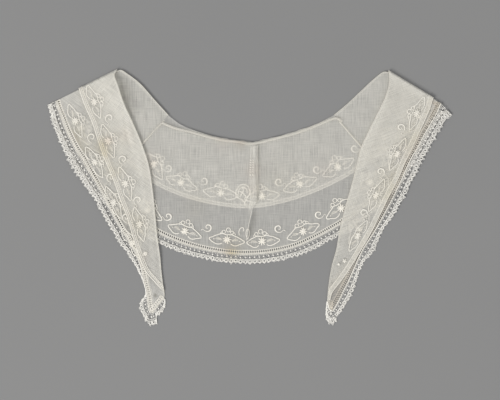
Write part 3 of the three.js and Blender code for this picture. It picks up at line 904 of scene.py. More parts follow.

# ---- cloth ----
# Stains, tints and painted shade: middle, radius, how strong, and their colour.
# YELLOW, BROWN and PINK are the cloth's own stains and tints. GREY is painted shade beside the left front's
# lifted edge and along the centre tuck, and it also darkens a small spot near the left tip.
YELLOW, BROWN = (0.80, 0.70, 0.42), (0.62, 0.45, 0.30)
PINK, GREY = (0.86, 0.72, 0.66), (0.46, 0.45, 0.40)
OVER_FROM = 3.2 * MM  # any point higher than this is on a front that lies over
STAINS_AND_SHADE = {
    "lower": [
        ((-19.5, -60.0), 6.0, 0.55, YELLOW), ((-16.0, -56.0), 12.0, 0.25, YELLOW),
        ((-25.0, -57.0), 8.0, 0.30, PINK), ((3.5, 30.0), 9.0, 0.35, PINK), ((3.5, 10.0), 8.0, 0.2, PINK),
        ((-30.0, 62.0), 10.0, 0.25, PINK), ((-10.0, 60.0), 7.0, 0.3, BROWN),
        # Painted shade: the GREY spots at (-138.5, 121), (-134.5, 109) and (-130.5, 97) darken the cloth
        # beside the lifted edge of the left front.
        ((-138.5, 121.0), 6.0, 0.4, GREY), ((-110.0, 40.0), 10.0, 0.2, PINK),
        ((-60.0, -10.0), 14.0, 0.15, YELLOW), ((30.0, 20.0), 20.0, 0.1, YELLOW),
        ((80.0, 30.0), 14.0, 0.15, PINK), ((-134.5, 109.0), 8.0, 0.5, GREY),
        # Painted shade: the GREY spots from (6, -18) down to (2.2, -39) darken the cloth to the right of the
        # tuck's lower part.
        ((-130.5, 97.0), 6.0, 0.3, GREY), ((6.0, -18.0), 3.8, 0.45, GREY), ((5.0, -25.0), 4.2, 0.6, GREY),
        ((3.6, -32.0), 4.0, 0.65, GREY), ((2.2, -39.0), 3.4, 0.6, GREY),
        # Painted shadow: a thin GREY line along the right edge of the centre tuck.
        *(((8.8 + 0.02 * y, y), 1.1, 0.55, GREY) for y in np.arange(-6, 57, 1.3)),
    ],
    "left": [
        ((-191.0, 69.0), 10.0, 0.5, YELLOW), ((-185.0, 54.0), 10.0, 0.45, YELLOW),
        ((-163.0, 57.0), 8.0, 0.5, YELLOW), ((-194.0, 62.0), 6.0, 0.3, BROWN),
        ((-160.0, 48.0), 7.0, 0.4, YELLOW), ((-154.5, 62.0), 6.0, 0.45, PINK),
        ((-119.5, -66.5), 7.0, 0.45, PINK), ((-136.0, 68.0), 9.0, 0.25, PINK),
        ((-103.4, -107.6), 2.0, 1.2, GREY), ((-148.0, -22.0), 12.0, 0.25, YELLOW),
        ((-136.0, -48.0), 8.0, 0.2, BROWN), ((-150.0, 30.0), 12.0, 0.2, YELLOW),
        ((-125.0, -30.0), 14.0, 0.18, YELLOW),
    ],
    "right": [
        ((202.7, 104.0), 2.6, 0.7, BROWN), ((214.0, 95.0), 5.0, 0.5, PINK),
        ((180.0, 63.0), 14.0, 0.22, YELLOW), ((172.0, 46.0), 12.0, 0.15, PINK),
        ((158.0, 20.0), 14.0, 0.22, YELLOW), ((200.0, 90.0), 9.0, 0.12, BROWN),
        ((110.0, -80.0), 10.0, 0.18, YELLOW), ((97.0, -101.0), 9.0, 0.42, BROWN),
        ((103.0, -92.0), 7.0, 0.4, YELLOW), ((91.0, -112.0), 7.0, 0.3, BROWN),
        ((89.0, -124.0), 7.0, 0.35, YELLOW), ((150.0, 0.0), 14.0, 0.2, YELLOW),
    ],
}


def stained_and_shaded(points, stack):
    """Colours to multiply the cloth by."""
    colour = np.ones((len(points), 4))
    for middle, radius, strength, tint in STAINS_AND_SHADE[stack]:
        distance = np.linalg.norm(points[:, :2] - plan(middle), axis=1)
        share = 0.7 * strength * np.exp(-((distance / (radius * MM)) ** 2))[:, None]
        colour[:, :3] *= 1 - share * (1 - np.array(tint))
    return colour


def marks_and_shade(points):
    """The same for the points of any piece, each from its own place."""
    colour = stained_and_shaded(points, "lower")
    for side, sign in (("left", -1), ("right", 1)):
        there = (points[:, 2] > OVER_FROM) & (points[:, 0] * sign > 0)
        colour[there] = stained_and_shaded(points[there], side)
    return colour


def cloth_piece(name, run, node, doubled, side=None, over_from=None):
    """A tier as one thin sheet. doubled says where it is turned back on itself, for each point."""
    work = Work()
    work.strip(run)
    stain = stained_and_shaded(run.points[:over_from].reshape(-1, 3), "lower")
    if side:
        stain = np.concatenate([stain, stained_and_shaded(run.points[over_from:].reshape(-1, 3), side)])
    return work.piece(name, CLOTH, "batiste", [node], {"doubled": doubled.reshape(-1), "stain": stain})


HEM_TURN = 0.8 * MM  # the cloth is double this far from its ladder
FACING = 10.0 * MM  # the left front edge is faced this far in, from the fold to a few rows on
NECK_TURN = 1.3 * MM


def row_distances(run):
    """How far each point is from the inner and from the outer end of its row."""
    inner = distances_along(run.points)
    return inner, inner[:, -1:] - inner


def doubled_on(run, key, tier, over_from=None):
    """How much there is of a second layer, for each point of a tier."""
    inner, outer = row_distances(run)
    double = 0.6 * (1 - smoothstep(inner, NECK_TURN, NECK_TURN + 0.8 * MM))
    double += 0.8 * (1 - smoothstep(outer, HEM_TURN, HEM_TURN + 0.6 * MM))
    if over_from is None:
        return double
    # rows counts along the part that lies over, in rows of its table
    rows = ((np.arange(len(inner)) - over_from) / ROWS_EACH)[:, None]
    over = rows >= 0
    if key == "left":
        facing = 1 - smoothstep(inner, FACING * np.clip(1.4 - 0.12 * rows, 0.7, 1.3), FACING * 1.6)
        double += over * 0.5 * facing * smoothstep(rows, 1.5, 2.9) * (1 - smoothstep(rows, 5.5, 8.5))
        double += over * 0.45 * (1 - smoothstep(rows, 1.6, 1.95))
        if tier == "long":
            double += over * 0.9 * smoothstep(rows, 11.6, 13.0)
    else:
        edge = 1 - smoothstep(inner, 2 * MM, 14 * MM)
        double += over * 0.3 * edge * (1 - smoothstep(rows, 7.0, 11.0))
        double += over * 0.3 * (1 - smoothstep(rows, 0.4, 0.9))
    return double


cloth = {}
for tier in ("short", "long"):
    run = back_cloth(tier)
    doubled = doubled_on(run, "back", tier)
    cloth["back", tier] = cloth_piece(f"back_{tier}_cloth", run, f"back_{tier}_tier", doubled)
    for side, front in fronts.items():
        run = front_cloth(front, tier)
        over_from = (len(front.under) - 1) * ROWS_EACH + 1 + (FOLD_STEPS - 1)
        doubled = doubled_on(run, side, tier, over_from)
        name = f"{side}_front_{tier}"
        cloth[side, tier] = cloth_piece(f"{name}_cloth", run, f"{name}_tier", doubled, side, over_from)

# ---- hems ----
RUNG_PITCH = 2.4 * MM


def drawn_along(work, run, column, half_width, half_height, step, sides=5, beads=0.0):
    """A thread along one column of a run, beaded a little where it is a row of stitches."""
    places = even_places(run, step, column)
    points, out = at_places(run, places)
    size = 1 + beads * np.where(np.arange(len(places)) % 2, 1.0, -1.0) + rng.normal(0, 0.06, len(places))
    work.threads(points[None, :, column], out[None, :, column], half_width * size, half_height * size, sides)


def rungs(work, run, first, second, pitch, half_width):
    """Short threads between two columns of a run, at an even pitch."""
    places = even_places(run, pitch, first)
    points, out = at_places(run, places)
    paths = np.stack([points[:, first], points[:, [first, second]].mean(axis=1), points[:, second]], axis=1)
    work.threads(paths, out[:, None, first], half_width, half_width, 4)


def strip_piece(name, key, tier, low, high, finish):
    """A narrow woven band along a hem, between two insets."""
    work = Work()
    work.strip(edges[key, tier].run(np.linspace(low, high, 4) * MM, 0.02 * MM))
    return work.piece(name, finish, "lace")


def turned_under():
    """Near the left tip the hem is turned under itself, so that its ladder is backed there."""
    run = edges["left", "long"].run(np.linspace(0.6, 6.0, 5) * MM, -0.35 * MM)
    first = len(edges["left", "long"].lines[0]) + FOLD_STEPS - 1 + 11 * EDGE_EACH
    shown = slice(first, first + 70)
    work = Work()
    work.strip(Run(run.points[shown], run.out[shown], run.cut[shown]))
    return work.piece("left_turned_under_hem", TAPE, "lace")


def long_hem(key):
    """The heading that carries the lace, and the open ladder of hemstitching above it."""
    width = LADDER[key, "long"]
    if key != "right":
        run = edges[key, "long"].run(np.array([0.0, 1.3, width]) * MM)
        work = Work()
        drawn_along(work, run, 0, 0.45 * MM, 0.38 * MM, 0.75 * MM, beads=0.16)
        drawn_along(work, run, 1, 0.34 * MM, 0.3 * MM, 0.75 * MM, beads=0.14)
        drawn_along(work, run, 2, 0.42 * MM, 0.36 * MM, 0.725 * MM, beads=0.2)
        rungs(work, run, 1, 2, RUNG_PITCH, 0.5 * MM)
        pieces = [work.piece(f"{key}_long_hemstitch", SILKY, "lace")]
        pieces.append(strip_piece(f"{key}_lace_heading", key, "long", 0.0, 1.3, TAPE))
        if key == "left":
            pieces.append(turned_under())
        return pieces
    run = edges[key, "long"].run(np.array([0.0, 2.2, 3.6, width]) * MM)
    work = Work()
    drawn_along(work, run, 0, 0.58 * MM, 0.5 * MM, 0.75 * MM, beads=0.16)
    piece = work.piece(f"{key}_long_hemstitch", SILKY, "lace")
    open_work = Work()
    for column, size in ((1, 0.24), (2, 0.18), (3, 0.26)):
        drawn_along(open_work, run, column, size * MM, size * MM, 0.75 * MM, beads=0.2)
    rungs(open_work, run, 0, 1, RUNG_PITCH, 0.3 * MM)
    rungs(open_work, run, 1, 3, RUNG_PITCH * 0.94, 0.26 * MM)
    return [piece, open_work.piece(f"{key}_tanned_hemstitch", TANNED, "lace")]


# The hem band of each short tier: its width, and the ladder between it and the cloth.
SHORT_BAND = {"back": 3.3, "left": 2.5, "right": 4.6}


def short_hem(key):
    """The woven band at the edge of the short tier, with a row of stitches that joins it to the cloth."""
    width, band = LADDER[key, "short"], SHORT_BAND[key]
    run = edges[key, "short"].run(np.array([0.3, band, width]) * MM)
    work = Work()
    bold = 1.5 if key == "left" else 1.0
    drawn_along(work, run, 0, 0.38 * bold * MM, 0.34 * bold * MM, 0.8 * MM, beads=0.16)
    if width - band > 0.5:
        drawn_along(work, run, 1, 0.26 * MM, 0.24 * MM, 0.725 * MM, beads=0.2)
    drawn_along(work, run, 2, 0.3 * bold * MM, 0.28 * bold * MM, 0.725 * MM, beads=0.2)
    rungs(work, run, 1, 2, RUNG_PITCH, 0.28 * MM)
    finish = YELLOWED if key == "right" else TAPE
    hem = strip_piece(f"{key}_short_hem_band", key, "short", 0.3, band, finish)
    return [work.piece(f"{key}_short_hemstitch", SILKY, "lace"), hem]


hems = {}
for key in ("back", *fronts):
    hems[key, "long"] = long_hem(key)
    hems[key, "short"] = short_hem(key)

# ---- lace ----
LACE_PITCH = 5.3 * MM


class LaceGround:
    """Places on a length of lace: u counts its repeats and t runs from 0 at the foot to 1 at the rim."""

    def __init__(self, run):
        self.run = run
        self.places = even_places(run, LACE_PITCH, [0, 1])
        self.repeats = len(self.places) - 1
        knots = np.linspace(0, self.repeats, 2 * self.repeats + 1)
        slow_knots = np.arange(0, self.repeats + 4, 3.0)
        slow = np.interp(knots, slow_knots, rng.normal(0, 1, len(slow_knots)))
        self.knots, self.stretch = knots, 1.025 + 0.035 * slow + rng.normal(0, 0.045, len(knots))

    def at(self, u, t):
        """Points at these places, with the way out of the lace."""
        t = np.asarray(t) * np.interp(u, self.knots, self.stretch)
        rows = np.interp(np.clip(u, 0, self.repeats), np.arange(self.repeats + 1), self.places)
        k = np.clip(rows.astype(int), 0, len(self.run.points) - 2)
        w = (rows - k)[..., None]
        foot, rim = (mix(self.run.points[k, c], self.run.points[k + 1, c], w) for c in (0, 1))
        out = unit(mix(self.run.out[k, 0], self.run.out[k + 1, 0], w))
        return foot + (rim - foot) * np.asarray(t)[..., None], out

    def each(self, work, u, t, width, height, sides=4, closed=False):
        """The same small thread in every repeat, a little off its place each time."""
        u = np.asarray(u, float) + np.arange(self.repeats)[:, None] + rng.normal(0, 0.045, (self.repeats, 1))
        t = np.broadcast_to(t, u.shape) + rng.normal(0, 0.022, (self.repeats, 1))
        points, out = self.at(u, t)
        work.threads(points, out, width, height, sides, closed)

    def along(self, work, t, width, height, steps=8, sides=4):
        """One thread the whole way, at a height that may wave: t is a function of u."""
        u = np.linspace(0, self.repeats, self.repeats * steps + 1)
        points, out = self.at(u, t(u))
        work.threads(points[None], out[None], width, height, sides)


def zigzag(u):
    """From 1 down to -1 and up again in each repeat."""
    return 4 * np.abs(u % 1 - 0.5) - 1


def small_ring(ground, work, u, t, wide, high, thickness, points=10):
    """The same closed ring in every repeat."""
    turn = 2 * math.pi * np.arange(points) / points
    ring = (u + wide * np.cos(turn), t + high * np.sin(turn))
    ground.each(work, *ring, thickness * MM, 0.8 * thickness * MM, 5, True)


def lace_piece(name, run, node):
    """One length of the edging, from its foot to its picots."""
    ground = LaceGround(run)
    work = Work()
    wave = 2 * math.pi
    # foot: a fine cord on close rungs
    ground.along(work, lambda u: 0.12 + 0 * u, 0.2 * MM, 0.18 * MM, 6)
    for place in np.arange(3) / 3:
        ground.each(work, [place, place + 0.02, place], [0.0, 0.06, 0.12], 0.14 * MM, 0.13 * MM)
    # ground: open net, with a dot on a slanting bar in each repeat
    ground.along(work, lambda u: 0.32 + 0.2 * zigzag(u), 0.1 * MM, 0.09 * MM, 8)
    ground.each(work, [0.3, 0.5, 0.68], [0.12, 0.33, 0.53], 0.12 * MM, 0.11 * MM)
    small_ring(ground, work, 0.5, 0.33, 0.08, 0.05, 0.42)
    small_ring(ground, work, 0.02, 0.22, 0.04, 0.025, 0.2, 6)
    # border: a row of rings with pinholes, cords that bind them, and picots round the scallops
    small_ring(ground, work, 0.5, 0.74, 0.26, 0.135, 0.4, 12)
    small_ring(ground, work, 0.0, 0.69, 0.12, 0.085, 0.3, 8)
    ground.along(work, lambda u: 0.55 + 0.02 * np.cos(wave * u), 0.33 * MM, 0.3 * MM, 8)
    ground.along(work, lambda u: 0.855 - 0.06 * np.cos(wave * u), 0.27 * MM, 0.24 * MM, 8)
    for phase in (0.0, 0.5):
        ground.along(work, lambda u: 0.69 + 0.14 * zigzag(3 * u + phase), 0.075 * MM, 0.07 * MM, 12)
    arc = np.linspace(0, math.pi, 6)
    for middle, foot, reach in ((0.2, 0.85, 0.09), (0.5, 0.91, 0.11), (0.8, 0.85, 0.09)):
        ground.each(work, middle - 0.13 * np.cos(arc), foot + reach * np.sin(arc), 0.29 * MM, 0.25 * MM)
    return work.piece(name, LACE, "lace", [node])


laces = {"back": lace_piece("back_lace_edging", lace_run(), "back_lace")}
for side, front in fronts.items():
    laces[side] = lace_piece(f"{side}_lace_edging", lace_run(front), f"{side}_front_lace")

# ---- whitework: a pointed leaf outline with a daisy, a crown of rings and a curl beside it ----
CORD = 0.6 * MM


class Needle:
    """Places drawn figures, in millimetres along the hem and in from the motif's middle, on a layer."""

    def __init__(self, work, surface, middle, along, inward, slim=1.0, turn=0):
        cos, sin = math.cos(math.radians(turn)), math.sin(math.radians(turn))
        self.work, self.surface, self.middle = work, surface, middle
        self.along = cos * along + sin * inward
        self.inward = (cos * inward - sin * along) * slim

    def lay(self, figure):
        flat = self.middle + (figure[..., :1] * self.along + figure[..., 1:] * self.inward) * MM
        return self.surface.lay(flat)

    def cord(self, points, width, step=0.62, wobble=0.12, taper=False):
        """A corded line through a few points, with the small bumps of its stitches."""
        points = np.array(points, float)
        rough = smooth_line(points, np.linspace(0, 1, 12 * len(points)))
        whole = distances_along(rough)[-1]
        count = max(int(whole / step), 3)
        figure = at_distances(rough, np.linspace(0, whole, count))
        figure += rng.normal(0, wobble * 0.5, figure.shape)
        bumps = 1 + 0.14 * np.where(np.arange(count) % 2, 1, -1) + rng.normal(0, 0.05, count)
        if taper:
            bumps = bumps * (0.4 + 0.75 * np.sin(np.linspace(0.1, math.pi - 0.35, count)) ** 2)
        self.work.threads(self.lay(figure)[None], UP, width * bumps, 0.72 * width * bumps)

    def stitches(self, starts, ends, width, plump=1.0):
        """Padded satin stitches, thick in the middle."""
        share = np.array([0.0, 0.2, 0.5, 0.8, 1.0])[:, None]
        paths = mix(np.asarray(starts)[:, None], np.asarray(ends)[:, None], share)
        laid = self.lay(paths)
        laid[..., 2] += np.array([0, 0.14, 0.22, 0.14, 0]) * plump * MM
        self.work.threads(laid, UP, width * np.array([0.45, 0.95, 1.1, 0.95, 0.4]), 0.8 * width, 5)


def daisy(needle, petals=9, reach=4.7):
    turn = 2 * math.pi * (np.arange(petals) + rng.uniform(-0.14, 0.14, petals)) / petals + rng.uniform(0, 1)
    way = np.stack([np.cos(turn), np.sin(turn)], axis=1)
    lengths = reach * (1 + rng.uniform(-0.16, 0.1, petals))[:, None]
    needle.stitches(way * 0.5, way * lengths, 0.76 * MM, 1.6)
    needle.stitches([(-0.9, 0.1), (0.1, -0.9)], [(0.9, -0.1), (-0.1, 0.9)], 0.85 * MM, 2.2)


def leaf_filling(needle, side):
    """Seed stitches that fill a leaf inside the outline, with a bead at its point."""
    share = np.linspace(0, 1, 11)
    spine = np.stack([side * (5.6 + 7.0 * share), -0.5 + 1.0 * np.sin(math.pi * share * 0.8)], axis=1)
    spread = 2.1 * np.sin(math.pi * (0.14 + 0.78 * share))[:, None]
    lean = np.array([side * 0.45, 0.89])
    needle.stitches(spine - spread * lean, spine + spread * lean, 0.2 * MM, 0.6)
    bead = np.array([side * 14.2, -0.6])
    needle.stitches([bead - (0.7, 0)], [bead + (0.7, 0.2)], 0.5 * MM, 1.6)


def spray(needle, left=1.0, crowned=True):
    """The outline is open below the daisy. Three rings stand in a crown on its upper side."""
    for side, size in ((-1, left), (1, 1.0)):
        outline = [
            (4.8, -4.2), (7.2, -5.6), (11.2, -5.8), (15.2, -3.6), (18.9, -1.3), (19.3, 0.0), (16.8, 1.5),
            (12.8, 3.4), (9.0, 4.9), (5.6, 6.2), (2.6, 5.6), (0, 5.4),
        ]
        uneven = rng.normal(0, 0.18, (len(outline), 2))
        needle.cord([(side * size * x, y) for x, y in np.array(outline) + uneven], CORD)
    daisy(needle)
    for side in (-1, 1):
        leaf_filling(needle, side)
    if crowned:
        crown(needle)


def crown(needle):
    """Three open rings, with a short stem at each side."""
    lean = rng.uniform(-1.2, 1.2)
    for x, y, radius, turn in ((-4.6, 8.1, 1.9, 0.7), (0.2, 10.8, 2.35, 0.0), (4.5, 8.2, 1.9, -0.7)):
        angle = np.linspace(-0.45 * math.pi, 1.45 * math.pi, 10) + turn
        middle = np.array([x + lean, y])
        ring = middle + radius * rng.uniform(0.92, 1.08) * np.stack([np.cos(angle), np.sin(angle)], axis=1)
        needle.cord(ring, 0.5 * MM, 0.7)
    needle.cord([(-8.4 + lean, 5.9), (-7.3 + lean, 7.3), (-6.2 + lean, 8.6)], 0.4 * MM, 0.7)
    needle.cord([(6.2 + lean, 9.0), (7.6 + lean, 7.8), (8.6 + lean, 6.0)], 0.4 * MM, 0.7)


def curl(needle, hand):
    """A thick scroll that winds in from a fine tail."""
    points = [
        (-4.6, -2.6), (-1.8, -3.8), (1.4, -3.2), (3.4, -0.8), (3.2, 2.0), (1.1, 3.7),
        (-1.4, 3.2), (-2.4, 1.2), (-1.3, -0.4), (0.2, 0.2),
    ]
    needle.cord([(hand * x, y) for x, y in points], 0.78 * MM, 0.6, taper=True)
    needle.stitches([(hand * -4.9, -1.9)], [(hand * -7.0, -3.9)], 0.42 * MM, 1.0)


def lined_up(edge, part, distance, inset):
    """The place this far along a hem and this far in, with its directions along and inwards."""
    line, ways = edge.lines[part], edge.inward[part]
    where = np.interp(distance * MM, distances_along(line), np.arange(len(line)))
    k = min(int(where), len(line) - 2)
    w = where - k
    inward = unit(mix(ways[k], ways[k + 1], w))
    along = unit(line[k + 1] - line[k])
    inward = unit(inward - along * (along @ inward))
    return mix(line[k], line[k + 1], w) + inward * inset * MM, along, inward


# Middles of the motifs on the table where they show, and how far along the hem the hidden ones are.
# Where a spray isn't plain, it says the size of its left leaf, its turn in degrees, or that it has no crown.
FIGURES = {
    ("back", "long", 0): {
        "sprays": [
            (-71.0, -36.8), (-24.8, -46.2), (13.8, -47.9, {"left": 0.86}), (58.9, -36.9), (100.7, -11.6),
        ],
        "curls": [(-89.7, -21.5), (-45.7, -33.6), (31.9, -34.7), (76.5, -19.3)],
        "more": [55.5, 346],
        "lines": [
            [(-11.2, -41.5), (-11.4, -37.2), (-10.0, -34.0), (-7.6, -33.0), (-6.2, -35.2), (-6.8, -37.0)],
            [
                (-2.2, -45.0), (-3.6, -41.0), (-3.4, -37.0), (-1.6, -34.4), (-0.2, -37.6),
                (-0.4, -42.0), (-2.0, -46.0),
            ],
        ],
    },
    ("back", "short", 0): {
        "sprays": [
            (-105.0, 37.0, {"left": 0.7, "turn": -24}), (-75.4, 16.5, {"left": 0.88}), (-31.4, 5.0),
            (13.8, 1.7), (55.6, 14.9), (97.4, 33.6),
        ],
        "curls": [(-89.7, 31.8), (-50.1, 17.6), (32.5, 16.5), (74.3, 30.3), (116.1, 53.4)],
        "lines": [
            [
                (-14.4, -0.5), (-15.0, 4.0), (-13.4, 9.6), (-10.0, 13.6), (-5.6, 14.4), (-1.4, 12.0),
                (0.4, 7.0), (-0.4, 2.0),
            ],
            [(-12.6, 3.0), (-11.2, 8.4), (-7.6, 11.6), (-3.6, 9.6), (-2.2, 5.0)],
            [(-11.0, 0.5), (-8.6, 3.6), (-6.8, 7.6), (-7.4, 11.0)],
            [(-3.6, 0.5), (-6.0, 3.6), (-8.6, 6.0), (-11.6, 7.0)],
            [(-13.6, 0.2), (-9.0, -2.0), (-5.4, -5.6), (-4.6, -9.0)],
            [(-1.0, 1.4), (-3.4, -1.6), (-4.8, -5.6), (-4.6, -9.0)],
        ],
    },
    ("left", "long", 0): {"more": [24, 70]},
    ("left", "short", 0): {"more": [22]},
    ("right", "long", 0): {"more": [24, 70]},
    ("right", "short", 0): {"more": [24]},
    ("left", "long", 1): {
        "sprays": [(-190.9, 84.2), (-170.0, 39.1), (-149.1, -5.0), (-129.3, -50.1)],
        "curls": [(-174.0, 66.0), (-153.0, 22.0), (-136.0, -22.0)],
    },
    ("right", "long", 1): {"more": [24, 71, 118, 165]},
    ("left", "short", 1): {
        "sprays": [(-170.0, 105.1), (-154.6, 62.2), (-135.9, 15.4), (-120.5, -29.2)],
        "daisies": [(-114.3, -61.5, 7, 3.0)],
        "curls": [(-154.1, 87.0), (-139.4, 41.8), (-123.3, -3.0)],
    },
    ("right", "short", 1): {
        "sprays": [(183.2, 92.5), (162.3, 47.9), (139.2, 2.8), (119.0, -41.8, {"crowned": False})],
        "curls": [(166.7, 76.5), (144.7, 28.1), (126.0, -17.1)],
        "daisies": [(104.4, -69.5, 5, 2.6), (98.2, -73.4, 4, 1.6)],
    },
}
PLAIN_SPRAY = {"left": 1.0, "turn": 0, "crowned": True}
INSETS = {"long": 16.0, "short": 12.6}
SLIM = {"left": 0.84, "right": 0.76}  # the fronts were worked a little narrower than the back
ACROSS, UPWARD = np.array([1.0, 0.0]), np.array([0.0, 1.0])
CENTRE_CORD = {"long": 0.5 * MM, "short": 0.7 * MM}


def beside(edge, part, middle):
    """The directions along and into the cloth at the place on a hem that is nearest to a point."""
    line, ways = edge.lines[part], edge.inward[part]
    k = int(np.argmin(np.linalg.norm(line - middle, axis=1)))
    k = min(max(k, 1), len(line) - 2)
    along = unit(line[k + 1] - line[k - 1])
    inward = ways[k] - along * (along @ ways[k])
    return along, unit(inward)


def needle_at(work, surface, edge, part, point, slim=1.0, turn=0):
    """A needle at a point of the table, turned as the hem beside it runs."""
    middle = plan(point)
    return Needle(work, surface, middle, *beside(edge, part, middle), slim, turn)


def embroidery(key, tier):
    """Every figure of one tier's back or front, in one mesh."""
    work = Work()
    edge = edges[key, tier]
    for part in range(len(edge.lines)):
        figures = FIGURES[key, tier, part]
        surface = surfaces[key if part else "back", tier]
        where = (work, surface, edge, part)
        for x, y, *changed in figures.get("sprays", ()):
            own = {**PLAIN_SPRAY, **(changed[0] if changed else {})}
            slim = SLIM[key] if part else 1.0
            spray(needle_at(*where, (x, y), slim, own["turn"]), own["left"], own["crowned"])
        for x, y, petals, reach in figures.get("daisies", ()):
            daisy(needle_at(*where, (x, y)), petals, reach)
        for shape in figures.get("lines", ()):
            Needle(work, surface, plan((0, 0)), ACROSS, UPWARD).cord(shape, CENTRE_CORD[tier])
        for distance in figures.get("more", ()):
            spray(Needle(work, surface, *lined_up(edge, part, distance, INSETS[tier])))
        for point in figures.get("curls", ()):
            curl(needle_at(*where, point), 1 if key == "back" and point[0] < 0 else -1)
    return work.piece(f"{key}_{tier}_embroidery", SILKY if key == "back" else WORN, "lace")


embroideries = {
    (key, tier): embroidery(key, tier) for key in ("back", *fronts) for tier in ("short", "long")
}

# ---- seams, edges, neck and tuck ----
SEAM_POINTS = 60
BINDING_POINTS = 190
TUCK_POINTS, TUCK_COLUMNS = 120, 10


def shoulder_seam(side):
    """A narrow felled seam: a ridge with a line of stitches at each side."""
    row = back_rows[0] if side == "left" else back_rows[-1]
    work = Work()
    for tier in ("short", "long"):
        start, end = plan([row["front"], row[tier]])
        start, end = start + (end - start) * 0.1, end + (start - end) * 0.02
        for shift, width, height in ((0.0, 0.62, 0.4), (-0.8, 0.16, 0.16), (0.8, 0.16, 0.16)):
            way = unit(end - start)
            offset = np.array([-way[1], way[0]]) * shift * MM
            points = start + offset + (end - start) * np.linspace(0, 1, SEAM_POINTS)[:, None]
            path = surfaces["back", tier].lay(points, 0.1 * MM)
            bumps = 1 + 0.1 * np.sin(np.arange(SEAM_POINTS) * 1.7)
            work.threads(path[None], UP, width * MM * bumps, height * MM * bumps, 6)
    return work.piece(f"{side}_shoulder_seam", TAPE, "binding")


def front_edge(side, tier):
    """The rolled front edge of a tier with its whipping stitches."""
    front = fronts[side]
    under = sampled(front.under, "front", EDGE_EACH)
    over = sampled(tier_rows(front, tier), "front", EDGE_EACH)
    run = run_on_front(front, tier, under[:, None], over[:, None])
    work = Work()
    places = even_places(run, 1.3 * MM)
    points, out = at_places(run, places)
    size = 1 + 0.09 * np.where(np.arange(len(places)) % 2, 1, -1)
    size = size * (0.45 + 0.55 * smoothstep(np.abs(places - len(under) - FOLD_STEPS / 2), 5, 14))
    work.threads(points.transpose(1, 0, 2), out.transpose(1, 0, 2), 0.42 * MM * size, 0.4 * MM * size, 6)
    return work.piece(f"{side}_{tier}_rolled_edge", TAPE, "binding")


def neck_binding():
    """The rolled binding that gathers in both tiers of the back."""
    count = BINDING_POINTS
    middle = smooth_line(plan(BINDING), np.linspace(0, 1, count))
    middle = surfaces["back", "long"].lay(middle, 0.6 * MM)
    out = np.broadcast_to(UP, middle.shape)
    along = unit(np.gradient(middle, axis=0))
    side = unit(np.cross(out, along))
    work = Work()
    puckers = 1 + 0.08 * np.sin(np.arange(count) * 1.9) + 0.05 * np.sin(np.arange(count) * 0.7)
    work.threads(middle[None], UP, 0.8 * MM * puckers, 0.36 * MM * puckers, 8)
    for shift in (-0.95, 0.95):
        work.threads((middle + side * shift * MM)[None], UP, 0.28 * MM * puckers, 0.3 * MM * puckers, 6)
    # The raw edge of the cloth shows a little beyond the binding, and slopes down to the table.
    shown = slice(22, 165)
    place = np.arange(count)[shown, None]
    reach = 1.5 + 0.35 * np.sin(place * 0.23) + 0.2 * np.sin(place * 0.61)
    out_by = np.linspace(0, 1, 4)
    raw = middle[shown, None] + side[shown, None] * (0.7 + reach * out_by)[..., None] * MM
    raw[..., 2] -= (0.3 + 1.1 * out_by) * MM
    work.strip(Run(raw, np.broadcast_to(UP, raw.shape), raw[..., :2]))
    starts = middle[4:-4:4] - side[4:-4:4] * 1.3 * MM
    ends = middle[5:-3:4] + side[5:-3:4] * 1.3 * MM
    share = np.linspace(0, 1, 5)[:, None]
    paths = mix(starts[:, None], ends[:, None], share)
    paths[..., 2] += np.array([0.0, 0.34, 0.4, 0.34, 0.0]) * MM
    work.threads(paths, UP, 0.14 * MM, 0.12 * MM, 4)
    return work.piece("rolled_neck_binding", TAPE, "binding", ["neck_binding"])


def centre_tuck():
    """The tuck at the centre back, pressed to the left, with cross stitches that hold it."""
    shares = np.linspace(0, 1, TUCK_POINTS)
    across = np.linspace(0, 1, TUCK_COLUMNS + 1)
    left, right = (smooth_line(plan([row[name] for row in TUCK]), shares) for name in ("left", "right"))
    lower = smoothstep(shares, 0.56, 0.68)[:, None]
    points = strip_between(left, right - np.array([0.8, 0]) * MM * (1 - lower), TUCK_COLUMNS)
    resting = np.minimum(surfaces["on_back"](points), surfaces["back", "long"](points) + LAYER * MM)
    bulge = np.sin(math.pi * across) ** 0.5
    height = resting + (0.1 + 0.3 * bulge + 1.3 * across**3) * MM
    laid = np.concatenate([points, height[..., None]], axis=-1)
    work = Work()
    work.strip(Run(laid, np.broadcast_to(UP, laid.shape), points))
    # Painted highlight: the cloth is made more opaque along a middle line of the tuck's upper part, on its
    # ridge. Towards its right edge it is made a little thinner, which paints shade there.
    fading = 1 - 0.75 * smoothstep(shares, 0.2, 0.32)[:, None]
    painted_highlight = fading * np.exp(-(((across - 0.5) / 0.12) ** 2))
    thin = -0.35 - 0.5 * lower + (1 - lower) * (0.8 * painted_highlight - 0.1 * smoothstep(across, 0.6, 0.9))
    attributes = {"doubled": thin.reshape(-1), "stain": stained_and_shaded(laid.reshape(-1, 3), "lower")}
    piece = work.piece("centre_back_tuck_cloth", CLOTH, "batiste", ["centre_back_tuck"], attributes)
    sewn = Work()
    edge = laid[:, -1] + UP * 0.05 * MM
    size = 0.09 + 0.19 * lower[:, 0]
    sewn.threads(edge[None], UP, size * MM, size * MM, 5)
    level = (np.linspace(0.095, 0.21, 8) * (TUCK_POINTS - 1)).astype(int)
    for first, last in ((0, 2), (3, 5)):
        starts, ends = laid[level, first] + UP * 0.3 * MM, laid[level + 1, last] + UP * 0.3 * MM
        sewn.threads(np.stack([starts, (starts + ends) / 2, ends], axis=1), UP, 0.3 * MM, 0.24 * MM, 5)
    return piece, sewn.piece("centre_back_tuck_stitches", SILKY, "binding")


